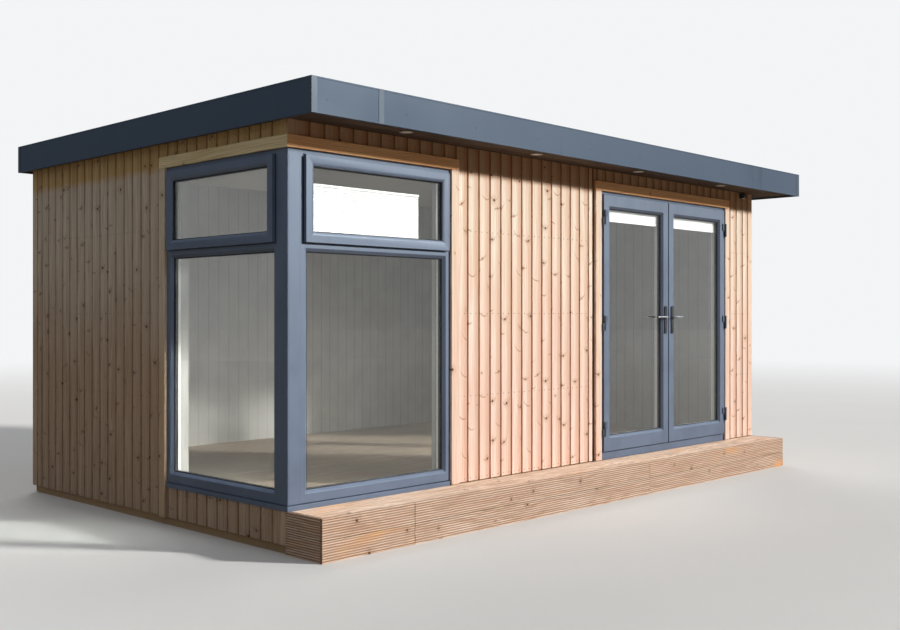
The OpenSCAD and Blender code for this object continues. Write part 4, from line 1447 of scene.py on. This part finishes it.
@dataclass
class Doors:
    """The double doors: frame, hinges, leaves, glass, blinds, plates and levers."""

    start: float = 2.885
    end: float = 4.685
    depth: float = 0.093
    lining: float = 0.025
    jamb: float = 0.020
    stop: float = 0.060
    stop_depth: float = 0.030
    threshold: float = 0.297
    threshold_stop: float = 0.023
    leaf: Rect = Rect(2.910, 3.779, 0.302, 2.215)
    light: Rect = Rect(2.995, 3.694, 0.417, 2.115)
    proud: float = 0.020
    leaf_back: float = 0.058
    glass_depth: float = 0.0
    bead: float = 0.017
    bead_sink: float = 0.0155
    blind_height: float = 0.092
    blind_head: float = 0.018
    blind_foot: float = 0.009
    blind_depth: float = 0.014
    hinge_x: float = 2.9075
    hinge_y: float = -0.032
    hinge_heights: tuple[float, ...] = (0.472, 1.2585, 2.045)
    hinge_half: float = 0.055
    hinge_gap: float = 0.0003
    knuckle: float = 0.009
    pin: float = 0.004
    flap_reach: float = 0.034
    screw_in: float = 0.022
    screw_height: float = 0.014
    screw_pitch: float = 0.027
    spindle_x: float = 3.7365
    spindle_z: float = 1.303
    plate: float = 0.008
    plate_half: float = 0.017
    plate_up: float = 0.088
    plate_down: float = 0.132
    key_down: float = 0.098
    key_end: float = 0.122
    lever_off: float = 0.042
    lever_bend: float = 0.014
    lever_radius: float = 0.0078
    lever_steps: tuple[tuple[float, float], ...] = ((0.040, 0.92), (0.055, 1.0), (0.017, 0.96), (0.003, 0.80))

    def frame(self) -> None:
        """The door frame with its stop and threshold."""
        rebate = Rect(self.start + self.jamb, self.end - self.jamb, self.threshold, HEAD - self.jamb)
        opening = Rect(self.start + self.stop, self.end - self.stop, self.threshold + self.threshold_stop,
                       HEAD - self.stop)
        piece = Piece.block((self.start, 0.0, FLOOR), (self.end, self.depth, HEAD))
        piece.panel("-y", rebate).push("-y", self.stop_depth - self.depth, opening.holds)
        piece.panel("-y", opening).panel("+y", opening).tunnel(opening)
        outside, inside = piece.softened(0.0015).split(self.depth - self.lining)
        Wall.FRONT.place(outside).finished("door_frame_profile", FRAME_COAT, "door_frame")
        Wall.FRONT.place(inside).finished("door_frame_inside", PROFILE_WHITE)

    def both(self, piece: Piece) -> tuple[Piece, Piece]:
        """A left-leaf part and its mirror on the right leaf, both on the wall."""
        right = piece.mirrored(X, (self.start + self.end) / 2)
        return Wall.FRONT.place(piece), Wall.FRONT.place(right)

    def backed(self, piece: Piece) -> Piece:
        """A copy mirrored to the inner face of the leaf."""
        return piece.mirrored(Y, (self.leaf_back - self.proud) / 2)

    def thrice(self, hinge: Piece) -> Piece:
        """One hinge part repeated at the hinges' heights."""
        lowest, middle = self.hinge_heights[:2]
        return hinge.repeated(len(self.hinge_heights), 0.0, 0.0, middle - lowest).moved(0.0, 0.0, lowest)

    def fixed_hinges(self) -> Piece:
        """Lower knuckles with their pins, and the arms to the frame."""
        x, y, half = self.hinge_x, self.hinge_y, self.hinge_half
        knuckle = Piece.rod((x, y, -half), (x, y, -self.hinge_gap), self.knuckle, 20)
        knuckle.inset("-z", (0.002, 0.0))
        pin = Piece.rod((x, y, -half), (x, y, half - self.pin), self.pin, 16)
        arm = Piece.block((self.start + 0.0025, y, -half), (x - 0.005, 0.0, -self.hinge_gap))
        return self.thrice(knuckle.softened(0.001).joined(pin.softened(0.0008), arm.softened(0.0015)))

    def leaf_hinges(self) -> Piece:
        """Upper knuckles around the pins, and the flaps with their screws."""
        x, y, half = self.hinge_x, self.hinge_y, self.hinge_half
        knuckle = Piece.rod((x, y, 0.0), (x, y, half), self.knuckle, 20)
        with knuckle.picked("faces", lambda face: abs(face.normal.z) > 0.99):
            bpy.ops.mesh.inset(thickness=self.knuckle - self.pin - self.hinge_gap, use_individual=True)
            bpy.ops.mesh.bridge_edge_loops()
        end = self.leaf.x0 + self.flap_reach
        flap = Piece.block((x + 0.006, y + 0.004, SEAM), (end, -self.proud, half - SEAM))
        flap.rounded(0.006, 4, lambda edge: reaches(edge, Y, 0.004) and edge.verts[0].co.x > end - 0.004)
        screw_x = self.leaf.x0 + self.screw_in
        screws = Piece.rod((screw_x, y + 0.0026, self.screw_height), (screw_x, y + 0.006, self.screw_height),
                           0.0035, 12)
        screws.softened(0.0006, 1).repeated(2, 0.0, 0.0, self.screw_pitch)
        return self.thrice(knuckle.softened(0.001).joined(flap.softened(0.0012), screws))

    def plates(self) -> Piece:
        """Handle plates on both faces, each with its key cylinder."""
        x, z, face = self.spindle_x, self.spindle_z, -self.proud
        front, key_z = face - self.plate, z - self.key_down
        plate = Piece.block((x - self.plate_half, front, z - self.plate_down),
                            (x + self.plate_half, face, z + self.plate_up))
        plate.rounded(0.012, 5, lambda edge: reaches(edge, Y, 0.004)).softened(0.0016, 2, 50.0)
        plate.drilled((x, face - 0.02, z), (x, face + 0.01, z), 0.0043)
        key = Piece.rod((x, front - 0.0025, key_z), (x, face - 0.002, key_z), 0.0085)
        key.inset("-y", (0.002, -0.0012))
        tail = Piece.block((x - 0.005, front - 0.002, z - self.key_end), (x + 0.005, face - 0.002, key_z))
        plate.joined(key.softened(0.0005, 1), tail.softened(0.002))
        return plate.joined(self.backed(plate))

    def lever(self) -> Piece:
        """Both levers of the left leaf on their common spindle."""
        x, z, face = self.spindle_x, self.spindle_z, -self.proud - self.plate
        root, elbow = face - 0.002, face - self.lever_off + self.lever_bend
        lever = Piece.primitive("circle", vertices=20, radius=self.lever_radius, fill_type="NGON",
                                location=(x, root, z), rotation=(math.pi / 2, 0.0, 0.0))
        with lever.picked():
            bpy.ops.mesh.extrude_region_move(TRANSFORM_OT_translate={"value": (0.0, elbow - root, 0.0)})
            bpy.ops.mesh.spin(steps=7, angle=-math.pi / 2, center=(x - self.lever_bend, elbow, z),
                              axis=(0.0, 0.0, 1.0))
            for length, squeeze in self.lever_steps:
                bpy.ops.mesh.extrude_region_move(TRANSFORM_OT_translate={"value": (-length, 0.0, 0.0)})
                low, high = lever.selected_span()
                bpy.ops.transform.resize(value=(1.0, squeeze, squeeze), center_override=(low + high) / 2)
        back = self.backed(lever.turned_out())
        spindle = Piece.rod((x, root + 0.001, z), (x, self.leaf_back + self.plate + 0.001, z), 0.004, 16)
        return lever.joined(back, spindle.softened(0.0004, 1))

    def leaves(self) -> None:
        """The two glazed leaves and all that rides on them."""
        light, unit = self.light, GlassUnit()
        x, z = self.spindle_x, self.spindle_z
        leaf = moulded_ring(self.leaf, -self.proud, self.leaf_back, light, self.bead, self.bead_sink)
        leaf, inside = leaf.softened(0.0014).drilled((x, -0.05, z), (x, 0.08, z), 0.007).split(
            self.glass_depth + unit.thickness)
        glass, seal = unit.parts(light, self.glass_depth)
        near = self.glass_depth + unit.thickness + 0.003
        far, x0, x1 = near + self.blind_depth, light.x0 + 0.001, light.x1 - 0.001
        high, low = light.z1 - self.blind_head, light.z1 - self.blind_height + self.blind_foot
        stack = Blind(light.x1 - light.x0 - 0.004, 40, 0.013, Fold.STACKED)
        cloth = stack.fabric(light.x0 + 0.002, (near + far) / 2, low, high)
        head = Piece.block((x0, near, high), (x1, far, light.z1)).softened(0.002)
        foot = Piece.block((x0, near, low - self.blind_foot), (x1, far, low)).softened(0.0015)
        plans = [
            (leaf, "leaf_profile", FRAME_COAT, "leaf"),
            (inside, "leaf_inside", PROFILE_WHITE),
            (glass, "leaf_panes", GLASS, "leaf_glass"),
            (seal, "leaf_gaskets", GASKET),
            (cloth, "leaf_blind_fabric", BLIND_CLOTH, "leaf_blind"),
            (head.joined(foot), "leaf_blind_rails", BLIND_RAIL, "leaf_blind"),
            (self.leaf_hinges(), "leaf_hinge_halves", HINGE_METAL, "leaf_fittings"),
            (self.plates(), "leaf_handle_plates", DARK_METAL, "leaf_fittings"),
        ]
        cloths: dict[str, list[bpy.types.Object]] = {"left": [], "right": []}
        for piece, name, finish, *nodes in plans:
            for side, part in zip(cloths, self.both(piece)):
                part.finished(f"{side}_{name}", finish, *(f"{side}_{node}" for node in nodes),
                              body=f"{side}_door")
                if "blind" in name:
                    cloths[side].append(part.obj)
        for fabric, rail in cloths.values():
            stack.length(high - low)
        for side, part in zip(cloths, self.both(self.lever())):
            part.finished(f"{side}_lever_handles", SATIN_STEEL, f"{side}_lever", body=f"{side}_handle")

    def build(self) -> None:
        """Makes the doors' pieces."""
        self.frame()
        left, right = self.both(self.fixed_hinges())
        left.joined(right).finished("frame_hinge_halves", HINGE_METAL, "frame_hinges")
        self.leaves()


@dataclass
class Deck:
    """The low deck step: grooved boards, grooved risers and closed ends."""

    board: float = 0.130
    thickness: float = 0.028
    gap: float = 0.005
    riser: float = 0.022
    out: float = 0.297
    spans: tuple[tuple[float, float], ...] = ((0.0, 0.685), (0.687, 3.099), (3.101, POD_WIDTH))
    riser_boards: int = 2
    flutes: int = 8
    flute_depth: float = 0.0045
    boards_seed: int = 31
    front_seed: int = 81
    end_seed: int = 86

    def fluted(self, piece: Piece, side: str, across: int) -> Piece:
        """Cuts grooves along one face, as wide as the ridges between them.

        Args:
            piece: The board.
            side: The side that the grooved face looks to.
            across: Axis across the grooves.
        Returns:
            The board.
        """
        low, high = (pick(vert.co[across] for vert in piece.obj.data.vertices) for pick in (min, max))
        with piece.picked("edges", lambda edge: reaches(edge, across, 0.02)):
            bpy.ops.mesh.subdivide(number_cuts=2 * self.flutes)
        pitch = (high - low) / (2 * self.flutes + 1)
        piece.push(side, -self.flute_depth, lambda centre: int((centre[across] - low) / pitch) % 2 == 1)
        return piece.softened(0.0009, 1)

    def boards(self) -> None:
        """The walking surface."""
        x0, x1 = self.riser + SEAM, POD_WIDTH - self.riser - SEAM
        step = self.board + self.gap
        y0 = -2 * step
        board = Piece.block((x0, y0, FLOOR - self.thickness), (x1, y0 + self.board, FLOOR))
        self.fluted(board, "+z", Y).repeated(2, 0.0, step, 0.0)
        board.grained(Y, X, Y, y0, step, self.boards_seed, True)
        Wall.FRONT.place(board).finished("deck_walking_boards", DECK_WOOD, "deck_boards")

    def risers(self) -> None:
        """The boards on the front and on both ends."""
        height, back = (FLOOR - self.gap) / self.riser_boards, self.riser - self.out
        step = height + self.gap
        plans = [("-y", X, self.front_seed + number, start, end, -self.out, back)
                 for number, (start, end) in enumerate(self.spans)]
        plans += [(side, Y, self.end_seed + number, x, x + self.riser, back + SEAM, 0.020)
                  for number, (side, x) in enumerate((("-x", 0.0), ("+x", POD_WIDTH - self.riser)))]
        pieces = []
        for side, along, seed, x0, x1, y0, y1 in plans:
            board = self.fluted(Piece.block((x0, y0, 0.0), (x1, y1, height)), side, Z)
            board.repeated(self.riser_boards, 0.0, 0.0, step)
            board.grained(Z, along, Z, 0.0, step, seed, side == "+x")
            pieces.append(Wall.FRONT.place(board))
        united(pieces).finished("deck_riser_boards", DECK_WOOD, "deck_riser")

    def build(self) -> None:
        """Makes the deck's pieces."""
        self.boards()
        self.risers()


@dataclass
class Interior:
    """Floor planks of the room, and the finishes of the plain hidden nodes."""

    inset: float = 0.1405
    plank: float = 0.188
    length: float = 1.285
    thickness: float = 0.050
    first_seed: int = 200

    def floor(self) -> None:
        """Staggered planks over the whole room."""
        x0, x1 = self.inset, POD_WIDTH - self.inset
        y0, y1 = self.inset, POD_DEPTH - self.inset
        pieces = []
        for row in range(math.ceil((y1 - y0) / self.plank)):
            near, start = y0 + row * self.plank, x0 - (row % 3) * self.length / 3
            plank = Piece.block((start + SEAM, near + SEAM, FLOOR - self.thickness),
                                (start + self.length - SEAM, min(near + self.plank, y1) - SEAM, FLOOR))
            plank.softened(0.0008, 1).repeated(math.ceil((x1 - start) / self.length), self.length, 0.0, 0.0)
            pieces.append(plank.ripped(x0, x1).grained(Y, X, X, start, self.length, self.first_seed + row))
        Wall.FRONT.place(united(pieces)).finished("room_floor_planks", PLANK_FLOOR, "floor")

    def build(self) -> None:
        """Makes the floor and dresses what stays of the CAD model."""
        self.floor()
        kept = {
            LINING_PAINT: ("wall_lining",),
            CEILING_PAINT: ("ceiling",),
            FRAMING: ("floor_frame", "front_wall_middle", "front_wall_right", "front_window_lintel",
                      "door_lintel", "left_wall", "side_window_lintel", "back_wall", "right_wall",
                      "roof_panel", "deck_frame"),
        }
        for finish, names in kept.items():
            for name in names:
                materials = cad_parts[name].data.materials
                materials.clear()
                materials.append(material_of(finish))
                LOG.info("%s: CAD shape kept, dressed", name)


@dataclass
class Studio:
    """Camera, lamps, world and floor."""

    backdrop: Colour = (0.90, 0.91, 0.92)
    mirrored: Colour = (0.11, 0.125, 0.14)
    sky: Colour = (0.46, 0.56, 0.70)
    bounce: Colour = (0.24, 0.21, 0.17)
    fill: Colour = (1.0, 0.98, 0.95)
    fill_strength: float = 0.085
    floor_radius: float = 90.0

    def hung(self, name: str, data: Any) -> bpy.types.Object:
        """A new camera or lamp in the scene."""
        obj = bpy.data.objects.new(name, data)
        bpy.context.scene.collection.objects.link(obj)
        return obj

    def camera(self) -> None:
        """The level camera that fits the photograph."""
        data = bpy.data.cameras.new("camera")
        data.sensor_width, data.lens, data.clip_end = 36.0, 42.88, 200.0
        camera = self.hung("camera", data)
        camera.location = (-6.204, -6.262, 1.319)
        camera.rotation_euler = (math.pi / 2, 0.0, -0.8045)
        bpy.context.scene.camera = camera

    def lamp(self, name: str, azimuth: float, height: float, strength: float, spread: float,
             colour: Colour) -> None:
        """A far soft lamp.

        Args:
            name: The lamp's name.
            azimuth: Degrees from the front wall's outward normal towards the right.
            height: Degrees above the horizon.
            strength: Its strength.
            spread: Its width in degrees.
            colour: Its colour.
        """
        data = bpy.data.lights.new(name, "SUN")
        data.energy, data.angle, data.color = strength, math.radians(spread), colour
        turn, rise = math.radians(azimuth), math.radians(height)
        towards = Vector((math.sin(turn) * math.cos(rise), -math.cos(turn) * math.cos(rise), math.sin(rise)))
        self.hung(name, data).rotation_euler = towards.to_track_quat("Z", "Y").to_euler()

    def rays(self, tree: Tree) -> tuple[Any, Any]:
        """The outputs that tell rays apart, and whether a ray comes from the camera or through glass."""
        path = tree.add("LightPath", {})
        return path, tree.math("MAXIMUM", path["Is Camera Ray"], path["Is Transmission Ray"])

    def world(self) -> None:
        """A pale world that the camera, metal and glass see, and a gentle fill."""
        tree = Tree(bpy.data.worlds.new("studio"))
        path, seen = self.rays(tree)
        height = tree.axes(tree.place("Generated"))["Z"]
        above = tree.mix(tree.span(height, 0.10, 0.50), self.mirrored, self.sky)
        fill, glossy, back = (
            tree.add("Background", {0: colour, 1: strength})[0]
            for colour, strength in ((self.fill, self.fill_strength), (above, 1.0), (self.backdrop, 1.0)))
        unseen = tree.either(path["Is Glossy Ray"], fill, glossy)
        bpy.context.scene.world = tree.closed(tree.either(seen, unseen, back))

    def floor(self) -> None:
        """A pale floor that fades into the backdrop far from the building."""
        floor = Piece.primitive("circle", vertices=64, radius=self.floor_radius, fill_type="NGON").obj
        floor.name = "studio_floor"
        tree = Tree(bpy.data.materials.new(floor.name))
        place = tree.place()
        seen = self.rays(tree)[1]
        far = tree.mul(seen, tree.span(tree.vector("LENGTH", place)["Value"], 6.0, 26.0))
        tone = tree.mix(tree.noise(place, 0.7), (0.78, 0.79, 0.80), (0.82, 0.825, 0.83))
        tone = tree.mix(seen, self.bounce, tone)
        near = tree.shader(Base_Color=tone, Roughness=0.9, Specular_IOR_Level=0.1)
        glow = tree.add("Emission", {"Color": self.backdrop, "Strength": 1.0})[0]
        floor.data.materials.append(tree.closed(tree.either(far, near, glow)))

    def build(self) -> None:
        """Sets up the studio."""
        self.camera()
        self.world()
        self.floor()
        self.lamp("key", 36.0, 22.0, 3.8, 5.0, (1.0, 0.97, 0.92))
        self.lamp("top", -10.0, 65.0, 0.35, 60.0, (0.97, 0.98, 1.0))
        self.lamp("left", -84.0, 28.0, 0.24, 60.0, (0.95, 0.98, 1.0))
        self.lamp("back", 150.0, 35.0, 0.9, 40.0, (1.0, 0.98, 0.96))
        bpy.context.scene.view_settings.view_transform = "Standard"


def main() -> None:
    """Builds the pod and its studio."""
    logging.basicConfig(level=logging.INFO, format="%(message)s")
    for part in (Studio(), Cladding(), Trims(), Roof(), CornerGlazing(), Doors(), Deck(), Interior()):
        LOG.info("building %s", type(part).__name__)
        part.build()
    bpy.ops.object.select_all(action="DESELECT")


if __name__ == "__main__":
    main()
